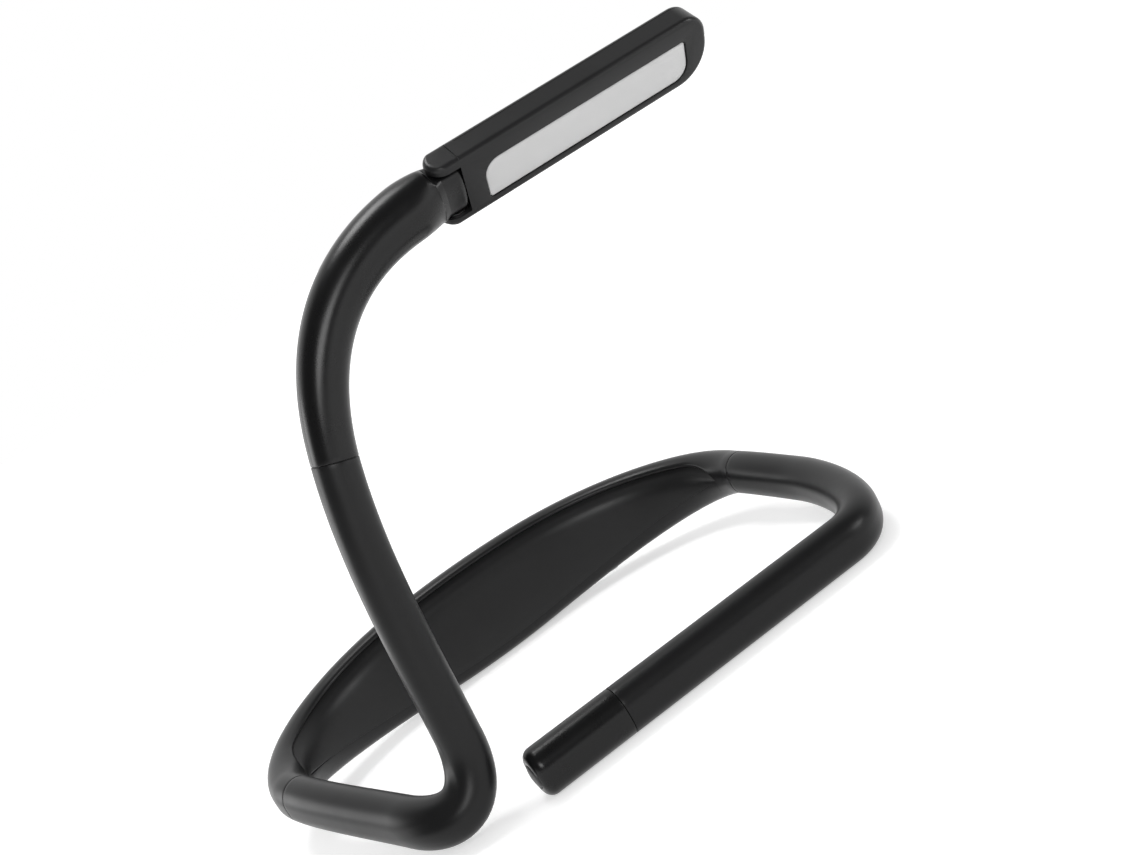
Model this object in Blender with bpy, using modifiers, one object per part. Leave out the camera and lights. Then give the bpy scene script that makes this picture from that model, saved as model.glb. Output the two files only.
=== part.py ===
"""Neck reading light.

A moulded band sits behind the neck and carries the battery. A bendable arm leaves each end:
the far arm closes the ring in front and ends in a switch cap, and the near arm turns up at
its corner and carries a rigid elbow with a hinged lamp head. Metres, +Z up. The band stands
on its lower edge, its flat neck side looks along -Y, and the arms rest on the same surface.
"""

import math

import bmesh
import bpy
import numpy as np
from mathutils import Matrix, Vector

COLLECTION = "neck_reading_light"

# Clearances
SEAM_GAP = 0.0003
RUN_GAP = 0.0004
OVERRUN = 0.002
MERGE_DISTANCE = 0.00001
SMALLEST_RADIUS = 0.00005

# Arm tube, an upright oval
TUBE_TALL = 0.0135
TUBE_THICK = 0.0115
SLEEVE_WALL = 0.0019
CORE_DIAMETER = 0.0064
CLAMP_LENGTH = 0.010

# Neck band, its centreline seen from above
BAND_HALF = 0.082
BAND_SAG = 0.048
BAND_FLAT_HALF = 0.020
BAND_CURVE_share = 2.1
BAND_HEIGHT = 0.0340
BAND_THICK = 0.0125
BAND_WALL = 0.0016
BAND_SWELL_share = 1.27
PAD_THICK = 0.0016
PAD_START = 0.012
PAD_MARGIN = 0.0045
PAD_height_shares = (-1.0, -0.9, -0.7, 0.7, 0.9, 1.0)

# Battery and charging board inside the band
BATTERY_LENGTH = 0.036
BATTERY_HEIGHT = 0.024
BATTERY_THICK = 0.0062
TAPE_THICK = 0.0005
TAPE_INSET = 0.003
BOARD_LENGTH = 0.020
BOARD_HEIGHT = 0.018
BOARD_THICK = 0.0012
BOARD_FROM_MIDDLE = 0.042
BOARD_LOWER_EDGE = 0.0075
POST_DIAMETER = 0.0036
POST_SPACING = 0.013
SOCKET_WIDTH = 0.0090
SOCKET_DEPTH = 0.0033
SOCKET_LENGTH = 0.0072
SOCKET_WALL = 0.0004
SOCKET_FLOOR = 0.0012
SOCKET_TONGUE_THICK = 0.0007
SOCKET_TONGUE_share = 0.7

# Near arm, from the band to the lamp's elbow
NEAR_SEAM_REACH = 0.0120
NEAR_BEND_IN = 0.018
NEAR_BEND_FORWARD = 0.058
NEAR_BEND_HEIGHT = 0.0098
NEAR_BEND_ARRIVE = 0.0193
NEAR_BEND_REACH = 0.0209
NEAR_BEND_heading_shares = (0.30, -0.93, -0.10)
LAMP_FOOT_IN = 0.0380
LAMP_FOOT_HEIGHT = 0.025
LAMP_FOOT_REACH = 0.0189
LAMP_FOOT_heading_shares = (0.10, 0.0, 1.0)
LAMP_ARM_REACH = 0.0243
LAMP_FORWARD = 0.070
ELBOW_IN = 0.0491
ELBOW_HEIGHT = 0.0973
ELBOW_heading_shares = (0.30, 0.0, 0.954)

# Elbow and its hinge tongue
HINGE_IN = 0.109
HINGE_HEIGHT = 0.1385
ELBOW_END_WIDTH = 0.0152
ELBOW_LEAVE = 0.0290
ELBOW_ARRIVE = 0.0330
ELBOW_SWELL_share = 1.3
SHOULDER_START = 0.0066
SHOULDER_END = 0.0046
TONGUE_REACH = 0.0041
TONGUE_WIDTH = 0.0128
TONGUE_THICK = 0.0080
TONGUE_CORNER = 0.0016
TONGUE_SQUARENESS = 4.0
PIN_DIAMETER = 0.0030
WASHER_THICK = 0.0003
WASHER_DIAMETER = 0.0066

# Lamp head, in its own frame: X along it from the hinge, Y along the hinge, light leaves to -Z
HEAD_ROLL = math.radians(-48.0)
HEAD_LENGTH = 0.0799
HEAD_WIDTH = 0.0187
HEAD_THICK = 0.0087
HEAD_REAR = 0.0032
HEAD_TIP_RADIUS = 0.0102
HEAD_TIP_UPPER_RADIUS = 0.0052
HEAD_REAR_RADIUS = 0.0030
HEAD_WALL = 0.0015
FACE_WALL = 0.0011
FACE_FILLET = 0.0014
BACK_FILLET = 0.0018
COVER_THICK = 0.0019
COVER_LIP = 0.0010
EAR_WIDTH = 0.0022
EAR_INSET = 0.0001
EAR_ROUND_share = 0.42
EAR_RADIUS = 0.0042
REAR_WALL = 0.0044
WINDOW_START = 0.0089
WINDOW_END_MARGIN = 0.0070
WINDOW_WIDTH = 0.0108
WINDOW_SHIFT = 0.0016
WINDOW_RADIUS = 0.0046
WINDOW_SHARP_RADIUS = 0.0010
LENS_MARGIN = 0.0005
LENS_THICK = 0.0010
LED_BOARD_THICK = 0.0008
LED_BOARD_WIDTH = 0.0098
THERMAL_PAD_share = 0.8
LED_LENGTH = 0.0035
LED_WIDTH = 0.0028
LED_THICK = 0.0007
LED_COUNT = 8
LED_CLEARANCE = 0.0004

# Far arm, which closes the ring
FAR_SEAM_REACH = 0.0078
FAR_BEND_OUT = 0.0038
FAR_BEND_FORWARD = 0.031
FAR_BEND_HEIGHT = 0.0128
FAR_BEND_ARRIVE = 0.0103
FAR_BEND_REACH = 0.0160
FAR_BEND_heading_shares = (0.08, -1.0, -0.12)
RING_FORWARD = 0.078
FREE_ARM_START = 0.015
CAP_FROM_FOOT = 0.0088
CAP_LENGTH = 0.0272
CAP_FILLET = 0.0028
BUTTON_DIAMETER = 0.0062
BUTTON_FLANGE = 0.0010
BUTTON_DOME = 0.0006
BUTTON_dome_shares = ((0.5, 0.8), (0.8, 0.3), (1.0, -0.6))
BUTTON_FLANGE_share = 0.6
BUTTON_TRAVEL = 0.0006
SWITCH_SIZE = 0.0045
SWITCH_THICK = 0.0020
SWITCH_BOARD_THICK = 0.0010

HALF_TURN_POINTS = 9
ELBOW_SIDES = 20
CORE_SIDES = 10


def new_collection(name):
    found = bpy.data.collections.new(name)
    bpy.context.scene.collection.children.link(found)
    return found


def material(name, colour, roughness, metallic=0.0, transmission=0.0):
    made = bpy.data.materials.new(name)
    made.use_nodes = True
    shader = made.node_tree.nodes["Principled BSDF"]
    shader.inputs["Base Color"].default_value = (*colour, 1.0)
    shader.inputs["Roughness"].default_value = roughness
    shader.inputs["Metallic"].default_value = metallic
    shader.inputs["Transmission Weight"].default_value = transmission
    made.diffuse_color = (*colour, 1.0)
    return made


def empty(name, parent=None, location=(0.0, 0.0, 0.0), rotation=(0.0, 0.0, 0.0)):
    """A frame that pieces hang on. Location and rotation are given in the parent's frame."""
    made = bpy.data.objects.new(name, None)
    made.location = location
    made.rotation_euler = rotation
    made.parent = parent
    bpy.context.scene.collection.objects.link(made)
    bpy.context.view_layer.update()
    return made


def unit(vector):
    vector = np.asarray(vector, float)
    return vector / np.linalg.norm(vector)


# Meshes

def mesh_object(name, bm, finish, collection):
    bmesh.ops.recalc_face_normals(bm, faces=bm.faces)
    mesh = bpy.data.meshes.new(name)
    bm.to_mesh(mesh)
    bm.free()
    mesh.shade_smooth()
    mesh.set_sharp_from_angle(angle=math.radians(35.0))
    made = bpy.data.objects.new(name, mesh)
    if finish is not None:
        made.data.materials.append(finish)
    collection.objects.link(made)
    return made


def loft(name, rings, finish, collection, ring_shaped=False):
    """One closed body through rings of equal point counts.

    It is capped at its two ends or, if ring_shaped, its last ring joins its first.
    """
    count = len(rings[0])
    bm = bmesh.new()
    rows = [[bm.verts.new(tuple(point)) for point in ring] for ring in rings]
    pairs = list(zip(rows, rows[1:]))
    if ring_shaped:
        pairs.append((rows[-1], rows[0]))
    else:
        bm.faces.new(rows[0])
        bm.faces.new(rows[-1])
    for one, other in pairs:
        for j in range(count):
            k = (j + 1) % count
            bm.faces.new((one[j], one[k], other[k], other[j]))
    return mesh_object(name, bm, finish, collection)


def box(name, size, centre, finish, collection, bevel=0.0):
    bm = bmesh.new()
    bmesh.ops.create_cube(bm, size=1.0)
    bmesh.ops.transform(bm, matrix=Matrix.Diagonal((*size, 1.0)), verts=bm.verts)
    made = mesh_object(name, bm, finish, collection)
    made.location = centre
    if bevel:
        rounding = made.modifiers.new("edges", "BEVEL")
        rounding.width = bevel
        rounding.segments = 2
    return made


def cylinder(name, radius, depth, centre, axis, finish, collection, sides=24):
    bm = bmesh.new()
    bmesh.ops.create_cone(
        bm, cap_ends=True, segments=sides, radius1=radius, radius2=radius, depth=depth
    )
    made = mesh_object(name, bm, finish, collection)
    made.location = centre
    made.rotation_mode = "QUATERNION"
    made.rotation_quaternion = Vector(axis).to_track_quat("Z", "Y")
    return made


def rod(name, points, radius, finish, collection):
    """A round bar along the points: a curve with a bevel depth and filled caps."""
    curve = bpy.data.curves.new(name, "CURVE")
    curve.dimensions = "3D"
    curve.bevel_depth = radius
    curve.bevel_resolution = 2
    curve.use_fill_caps = True
    spline = curve.splines.new("POLY")
    spline.points.add(len(points) - 1)
    for slot, point in zip(spline.points, points):
        slot.co = (*point, 1.0)
    if finish is not None:
        curve.materials.append(finish)
    made = bpy.data.objects.new(name, curve)
    collection.objects.link(made)
    return made


def as_mesh(made):
    """The curve object's shape as a closed mesh object of the same name."""
    bpy.context.view_layer.update()
    graph = bpy.context.evaluated_depsgraph_get()
    mesh = bpy.data.meshes.new_from_object(made.evaluated_get(graph))
    bm = bmesh.new()
    bm.from_mesh(mesh)
    bmesh.ops.remove_doubles(bm, verts=bm.verts, dist=MERGE_DISTANCE)
    bmesh.ops.recalc_face_normals(bm, faces=bm.faces)
    bm.to_mesh(mesh)
    bm.free()
    name = made.name
    world = made.matrix_world.copy()
    collection = made.users_collection[0]
    bpy.data.objects.remove(made)
    turned = bpy.data.objects.new(name, mesh)
    turned.matrix_world = world
    collection.objects.link(turned)
    return turned


def combine(target, tool, operation):
    """Cuts the tool out of the target, or joins it on. The tool itself isn't part of the model."""
    tool.hide_render = True
    tool.display_type = "WIRE"
    step = target.modifiers.new(tool.name, "BOOLEAN")
    step.operation = operation
    step.solver = "EXACT"
    step.object = tool
    return target


def hang(pieces, frame):
    """The pieces, modelled in the root frame, follow the given frame without moving."""
    bpy.context.view_layer.update()
    for piece in pieces:
        piece.parent = frame
        piece.matrix_parent_inverse = frame.matrix_world.inverted()


def place(pieces, frame):
    """The pieces, modelled in the given frame's own axes, are set in it."""
    for piece in pieces:
        piece.parent = frame


# Outlines and frames along a route

def oval(thick, tall):
    """An upright oval: two half circles joined by flats. Its points are (across, up)."""
    radius = thick / 2
    reach = (tall - thick) / 2
    points = []
    for side in (1, -1):
        for angle in np.linspace(0.0, math.pi, HALF_TURN_POINTS):
            points.append((side * radius * math.cos(angle), side * (reach + radius * math.sin(angle))))
    return np.array(points)


def circle(radius, sides=2 * HALF_TURN_POINTS):
    """A circle, with as many points as an oval and in the same order unless sides says otherwise."""
    angles = np.linspace(0.0, 2 * math.pi, sides + 1)[:-1]
    return np.array([(radius * math.cos(angle), radius * math.sin(angle)) for angle in angles])


def section(frame, outline):
    """The outline's points set across the route at a frame."""
    return [frame["at"] + frame["side"] * u + frame["up"] * v for u, v in outline]


def route(waypoints, side, steps=40):
    """A smooth route through (point, heading, reach in, reach out) waypoints.

    Each stretch is a cubic curve whose handles follow the headings. The side and up directions
    are carried along it without twist. It gives dense rows and each waypoint's length along it.
    """
    points = [np.array(waypoints[0][0], float)]
    marks = [0]
    for one, other in zip(waypoints, waypoints[1:]):
        start, end = np.array(one[0], float), np.array(other[0], float)
        leave = start + unit(one[1]) * one[3]
        arrive = end - unit(other[1]) * other[2]
        for t in np.linspace(0.0, 1.0, steps + 1)[1:]:
            s = 1.0 - t
            points.append(s**3 * start + 3 * s * s * t * leave + 3 * s * t * t * arrive + t**3 * end)
        marks.append(len(points) - 1)
    points = np.array(points)
    tangents = np.gradient(points, axis=0)
    tangents[0] = unit(waypoints[0][1])
    tangents[-1] = unit(waypoints[-1][1])
    tangents = np.array([unit(t) for t in tangents])
    sides = []
    for tangent in tangents:
        side = unit(side - tangent * np.dot(side, tangent))
        sides.append(side)
    lengths = np.concatenate([[0.0], np.cumsum(np.linalg.norm(np.diff(points, axis=0), axis=1))])
    return {
        "points": points,
        "tangents": tangents,
        "sides": np.array(sides),
        "lengths": lengths,
        "marks": [lengths[m] for m in marks],
    }


def roll_over(path, first, last, wanted):
    """Turns the side direction between two waypoints, so that it ends up along the wanted one."""
    start, end = path["marks"][first], path["marks"][last]
    frame = frame_at(path, end)
    angle = math.atan2(np.dot(wanted, frame["up"]), np.dot(wanted, frame["side"]))
    turned = []
    for side, tangent, length in zip(path["sides"], path["tangents"], path["lengths"]):
        part = min(max((length - start) / (end - start), 0.0), 1.0) * angle
        turned.append(side * math.cos(part) + np.cross(side, tangent) * math.sin(part))
    return {**path, "sides": np.array(turned)}


def frame_at(path, length):
    def read(rows):
        return np.array([np.interp(length, path["lengths"], rows[:, i]) for i in range(3)])

    tangent = unit(read(path["tangents"]))
    side = read(path["sides"])
    side = unit(side - tangent * np.dot(side, tangent))
    return {"at": read(path["points"]), "along": tangent, "side": side, "up": np.cross(side, tangent)}


def frames_between(path, start, end, count):
    return [frame_at(path, length) for length in np.linspace(start, end, count)]


def tube(name, frames, wall, finish, collection):
    """An oval tube with the arm's outside and an even wall."""
    outside = oval(TUBE_THICK, TUBE_TALL)
    inside = oval(TUBE_THICK - 2 * wall, TUBE_TALL - 2 * wall)
    rings = [section(f, outside) for f in frames]
    rings += [section(f, inside) for f in reversed(frames)]
    return loft(name, rings, finish, collection, ring_shaped=True)


# The band

def band_path():
    """The band's centreline from the near seam to the far one: a flat middle and two curved wings."""
    wing = BAND_HALF - BAND_FLAT_HALF
    right = []
    for angle in np.linspace(0.0, math.pi / 2, 61):
        right.append((
            BAND_FLAT_HALF + wing * math.cos(angle) ** (2 / BAND_CURVE_share),
            BAND_SAG * math.sin(angle) ** (2 / BAND_CURVE_share),
            BAND_HEIGHT / 2,
        ))
    left = [(-x, y, z) for x, y, z in right]
    points = np.array(left + right[::-1])
    tangents = np.gradient(points, axis=0)
    tangents[0] = (0.0, 1.0, 0.0)
    tangents[-1] = (0.0, -1.0, 0.0)
    tangents = np.array([unit(t) for t in tangents])
    sides = np.array([np.cross(t, (0.0, 0.0, -1.0)) for t in tangents])
    lengths = np.concatenate([[0.0], np.cumsum(np.linalg.norm(np.diff(points, axis=0), axis=1))])
    return {"points": points, "tangents": tangents, "sides": sides, "lengths": lengths}


def band_sizes(path, length):
    """The band's thickness and height at a length along it: an arm tube at the ends, full at the middle."""
    total = path["lengths"][-1]
    swell = math.sin(math.pi * min(max(length / total, 0.0), 1.0)) ** BAND_SWELL_share
    thick = TUBE_THICK + (BAND_THICK - TUBE_THICK) * swell
    tall = TUBE_TALL + (BAND_HEIGHT - TUBE_TALL) * swell
    return thick, tall


def band_stations(path, start, end, count):
    """Lengths along the band, even along each wing, with none inside the flat middle."""
    middle = path["lengths"][-1] / 2
    first = np.linspace(start, middle - BAND_FLAT_HALF, count)
    second = np.linspace(middle + BAND_FLAT_HALF, end, count)
    return list(first) + list(second)


def band_frame(path, length):
    """A frame on the band. Side points outwards, away from the neck."""
    found = frame_at(path, length)
    return {**found, "up": np.array((0.0, 0.0, 1.0))}


def face_depth(path, length, height):
    """How far the neck side lies behind the centreline at a height above it."""
    thick, tall = band_sizes(path, length)
    radius = thick / 2
    beyond = max(abs(height) - (tall - thick) / 2, 0.0)
    return math.sqrt(radius**2 - beyond**2)


def pad_rings(path, inset, outer, inner):
    """Rings of the leaf-shaped pad, or of its opening, between two depths from the neck side."""
    total = path["lengths"][-1]
    rings = []
    for length in band_stations(path, PAD_START + inset, total - PAD_START - inset, 15):
        swell = (band_sizes(path, length)[1] - TUBE_TALL) / (BAND_HEIGHT - TUBE_TALL)
        half = (BAND_HEIGHT / 2 - PAD_MARGIN) * swell - inset
        heights = [half * share for share in PAD_height_shares]
        depths = [face_depth(path, length, height) for height in heights]
        outline = [(outer - depth, height) for depth, height in zip(depths, heights)]
        outline += [(inner - depth, height) for depth, height in zip(depths[::-1], heights[::-1])]
        rings.append(section(band_frame(path, length), outline))
    return rings


def board_frame(path):
    middle = path["lengths"][-1] / 2
    return band_frame(path, middle + BOARD_FROM_MIDDLE)


def turned_to(frame):
    """Rotation whose X runs along a band frame and whose Y points outwards."""
    return Matrix((frame["along"], frame["side"], frame["up"])).transposed().to_euler()


def make_band(parts, cutters, finishes, root):
    path = band_path()
    total = path["lengths"][-1]
    stations = band_stations(path, 0.0, total, 17)
    outer, inner = [], []
    for length in stations:
        thick, tall = band_sizes(path, length)
        frame = band_frame(path, length)
        outer.append(section(frame, oval(thick, tall)))
        inner.append(section(frame, oval(thick - 2 * BAND_WALL, tall - 2 * BAND_WALL)))
    shell = loft("band_shell", outer + inner[::-1], finishes["shell"], parts, ring_shaped=True)
    opening = loft("pad_opening", pad_rings(path, 0.0, -OVERRUN, BAND_WALL + OVERRUN), None, cutters)
    combine(shell, opening, "DIFFERENCE")
    pad = loft("neck_pad", pad_rings(path, SEAM_GAP, 0.0, PAD_THICK), finishes["pad"], parts)
    hang([shell, opening, pad], root)
    make_board(parts, cutters, finishes, root, shell, path)
    make_battery(parts, finishes, root)
    return path


def make_battery(parts, finishes, root):
    """A flat cell in the band's flat middle, held to the outer wall by tape."""
    wall = BAND_SAG + BAND_THICK / 2 - BAND_WALL
    tape_y = wall - SEAM_GAP - TAPE_THICK / 2
    cell_y = tape_y - TAPE_THICK / 2 - SEAM_GAP - BATTERY_THICK / 2
    height = BAND_HEIGHT / 2
    tape = box(
        "battery_tape",
        (BATTERY_LENGTH - 2 * TAPE_INSET, TAPE_THICK, BATTERY_HEIGHT - 2 * TAPE_INSET),
        (0.0, tape_y, height), finishes["tape"], parts,
    )
    cell = box(
        "battery_cell", (BATTERY_LENGTH, BATTERY_THICK, BATTERY_HEIGHT),
        (0.0, cell_y, height), finishes["cell"], parts, bevel=BATTERY_THICK / 5,
    )
    place([tape, cell], root)


def make_board(parts, cutters, finishes, root, shell, path):
    """The charging board stands on two posts, with its socket mouth in the band's lower edge."""
    frame = board_frame(path)
    thick, tall = band_sizes(path, path["lengths"][-1] / 2 + BOARD_FROM_MIDDLE)
    mouth = -tall / 2 + SEAM_GAP
    seat = empty("board_seat", root, frame["at"], turned_to(frame))
    board_y = SOCKET_DEPTH / 2 + SEAM_GAP + BOARD_THICK / 2
    board_z = BOARD_LOWER_EDGE - BAND_HEIGHT / 2 + BOARD_HEIGHT / 2
    board = box(
        "charging_board", (BOARD_LENGTH, BOARD_THICK, BOARD_HEIGHT),
        (0.0, board_y, board_z), finishes["board"], parts,
    )
    socket = box(
        "charging_socket", (SOCKET_WIDTH, SOCKET_DEPTH, SOCKET_LENGTH),
        (0.0, 0.0, mouth + SOCKET_LENGTH / 2), finishes["steel"], parts, bevel=SOCKET_DEPTH / 3,
    )
    pocket_length = SOCKET_LENGTH - SOCKET_FLOOR
    pocket = box(
        "socket_pocket",
        (SOCKET_WIDTH - 2 * SOCKET_WALL, SOCKET_DEPTH - 2 * SOCKET_WALL, pocket_length + OVERRUN),
        (0.0, 0.0, mouth + (pocket_length - OVERRUN) / 2), None, cutters, bevel=SOCKET_DEPTH / 4,
    )
    tongue = box(
        "socket_tongue", (SOCKET_WIDTH * SOCKET_TONGUE_share, SOCKET_TONGUE_THICK, pocket_length),
        (0.0, 0.0, mouth + pocket_length / 2 + SOCKET_FLOOR), None, cutters,
    )
    hole = box(
        "socket_hole",
        (SOCKET_WIDTH + 2 * SEAM_GAP, SOCKET_DEPTH + 2 * SEAM_GAP, 2 * SOCKET_LENGTH),
        (0.0, 0.0, mouth), None, cutters, bevel=SOCKET_DEPTH / 3,
    )
    combine(socket, pocket, "DIFFERENCE")
    combine(socket, tongue, "UNION")
    combine(shell, hole, "DIFFERENCE")
    wall = thick / 2
    foot = board_y + BOARD_THICK / 2 + SEAM_GAP
    posts = []
    for number, side in enumerate((-1, 1), 1):
        post = cylinder(
            f"board_post_{number}", POST_DIAMETER / 2, wall - BAND_WALL / 2 - foot,
            (side * POST_SPACING / 2, (wall - BAND_WALL / 2 + foot) / 2, board_z),
            (0.0, 1.0, 0.0), None, cutters, sides=12,
        )
        posts.append(post)
        combine(shell, post, "UNION")
    place([board, socket, pocket, tongue, hole, *posts], seat)


# Bendable arms

def near_route():
    """From the near seam, down to the corner by the table, then up to the elbow."""
    seam = (-BAND_HALF, 0.0, BAND_HEIGHT / 2)
    bend = (-BAND_HALF + NEAR_BEND_IN, -NEAR_BEND_FORWARD, NEAR_BEND_HEIGHT)
    foot = (-BAND_HALF + LAMP_FOOT_IN, -LAMP_FORWARD, LAMP_FOOT_HEIGHT)
    top = (-BAND_HALF + ELBOW_IN, -LAMP_FORWARD, ELBOW_HEIGHT)
    path = route([
        (seam, (0.0, -1.0, 0.0), 0.0, NEAR_SEAM_REACH),
        (bend, NEAR_BEND_heading_shares, NEAR_BEND_ARRIVE, NEAR_BEND_REACH),
        (foot, LAMP_FOOT_heading_shares, LAMP_FOOT_REACH, LAMP_ARM_REACH),
        (top, ELBOW_heading_shares, LAMP_ARM_REACH, 0.0),
    ], np.array((-1.0, 0.0, 0.0)))
    return roll_over(path, 1, 2, np.array((-1.0, 0.0, 0.0)))


def far_route():
    """From the far seam round the far corner and back along the front, on the table."""
    seam = (BAND_HALF, 0.0, BAND_HEIGHT / 2)
    bend = (BAND_HALF + FAR_BEND_OUT, -FAR_BEND_FORWARD, FAR_BEND_HEIGHT)
    front = (BAND_HALF - FREE_ARM_START, -RING_FORWARD, TUBE_TALL / 2)
    end_x = -BAND_HALF + LAMP_FOOT_IN + CAP_FROM_FOOT + CAP_LENGTH
    end = (end_x, -RING_FORWARD, TUBE_TALL / 2)
    straight = BAND_HALF - FREE_ARM_START - end_x
    return route([
        (seam, (0.0, -1.0, 0.0), 0.0, FAR_SEAM_REACH),
        (bend, FAR_BEND_heading_shares, FAR_BEND_ARRIVE, FAR_BEND_REACH),
        (front, (-1.0, 0.0, 0.0), FAR_BEND_REACH, straight / 3),
        (end, (-1.0, 0.0, 0.0), straight / 3, 0.0),
    ], np.array((1.0, 0.0, 0.0)))


def arm_stretch(label, path, start, end, finishes, parts, count, before=(), after=()):
    """One stretch of an arm: its sleeve, and the bendable core inside with any frames past its ends."""
    trim = SEAM_GAP / 2
    frames = frames_between(path, start + trim, end - trim, count)
    sleeve = tube(f"{label}_sleeve", frames, SLEEVE_WALL, finishes["sleeve"], parts)
    round_bar = circle(CORE_DIAMETER / 2, CORE_SIDES)
    rings = [section(f, round_bar) for f in (*before, *frames, *after)]
    core = loft(f"{label}_core", rings, finishes["steel"], parts)
    return [sleeve, core]


def straight_on(frame, reach):
    """The frame moved along its own heading."""
    return {**frame, "at": frame["at"] + frame["along"] * reach}


def core_clamp(name, frames, finish, collection):
    """A plug that grips the core inside a housing's end: an oval block with a round bore."""
    slack = 2 * (BAND_WALL + SEAM_GAP)
    outside = oval(TUBE_THICK - slack, TUBE_TALL - slack)
    bore = circle(CORE_DIAMETER / 2 + SEAM_GAP)
    rings = [section(f, outside) for f in frames]
    rings += [section(f, bore) for f in reversed(frames)]
    return loft(name, rings, finish, collection, ring_shaped=True)


def make_arms(parts, finishes, root, band):
    near, far = near_route(), far_route()
    frames = {}
    for label, path in (("lamp_arm", near), ("free_arm", far)):
        middle = (path["marks"][1] + path["marks"][2]) / 2
        frames[label] = empty(f"{label}_pivot", root, frame_at(path, middle)["at"])
    total = band["lengths"][-1]
    for side, path, band_end, inward in (("near", near, 0.0, 1), ("far", far, total, -1)):
        marks = path["marks"]
        inside = []
        for reach in np.linspace(SEAM_GAP, CLAMP_LENGTH, 4):
            found = band_frame(band, band_end + inward * reach)
            found["up"] = np.cross(found["side"], -inward * found["along"])
            inside.append(found)
        ahead = inside[::-1]
        fixed = arm_stretch(f"{side}_root", path, marks[0], marks[1], finishes, parts, 8, before=ahead)
        fixed += arm_stretch(f"{side}_bend", path, marks[1], marks[2], finishes, parts, 15)
        fixed.append(core_clamp(f"{side}_core_clamp", inside, finishes["nylon"], parts))
        hang(fixed, root)
    for label, path, count in (("lamp_arm", near, 8), ("free_arm", far, 6)):
        start, end = path["marks"][2:4]
        past = [straight_on(frame_at(path, end), CLAMP_LENGTH)]
        moving = arm_stretch(label, path, start, end, finishes, parts, count, after=past)
        hang(moving, frames[label])
    return near, far, frames


# Elbow and hinge

def elbow_route(side):
    start = (-BAND_HALF + ELBOW_IN, -LAMP_FORWARD, ELBOW_HEIGHT)
    shoulder = (-BAND_HALF + HINGE_IN - SHOULDER_START, -LAMP_FORWARD, HINGE_HEIGHT)
    knuckle = (-BAND_HALF + HINGE_IN, -LAMP_FORWARD, HINGE_HEIGHT)
    return route([
        (start, ELBOW_heading_shares, 0.0, ELBOW_LEAVE),
        (shoulder, (1.0, 0.0, 0.0), ELBOW_ARRIVE - SHOULDER_START, SHOULDER_START / 3),
        (knuckle, (1.0, 0.0, 0.0), SHOULDER_START / 3, 0.0),
    ], side)


def oval_reach(thick, tall, angle):
    """How far an upright oval's edge lies from its middle, at an angle from its thin direction."""
    radius = thick / 2
    straight = (tall - thick) / 2
    across = abs(math.cos(angle))
    up = abs(math.sin(angle))
    if across > 0.0001 and radius * up / across <= straight:
        return radius / across
    return straight * up + math.sqrt(max(radius**2 - (straight * across) ** 2, 0.0))


def squared_reach(wide, thick, angle):
    """The same for a rounded rectangle with its wide direction at angle zero."""
    n = TONGUE_SQUARENESS
    across = abs(math.cos(angle)) / (wide / 2)
    up = abs(math.sin(angle)) / (thick / 2)
    return (across**n + up**n) ** (-1.0 / n)


def elbow_outline(frame, widened, squared, tongue_thick=TONGUE_THICK):
    """The elbow's section. It swells from the arm's oval, then flattens along the hinge's axis."""
    thick = TUBE_THICK + (ELBOW_END_WIDTH - TUBE_THICK) * widened
    tall = TUBE_TALL + (ELBOW_END_WIDTH - TUBE_TALL) * widened
    hinge_axis = np.array((0.0, math.cos(HEAD_ROLL), math.sin(HEAD_ROLL)))
    turn = math.atan2(np.dot(hinge_axis, frame["up"]), np.dot(hinge_axis, frame["side"]))
    points = []
    for angle in np.linspace(0.0, 2 * math.pi, ELBOW_SIDES + 1)[:-1]:
        round_reach = oval_reach(thick, tall, angle)
        flat_reach = squared_reach(TONGUE_WIDTH, tongue_thick, angle - turn)
        reach = round_reach + (flat_reach - round_reach) * squared
        points.append((reach * math.cos(angle), reach * math.sin(angle)))
    return section(frame, points)


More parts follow.
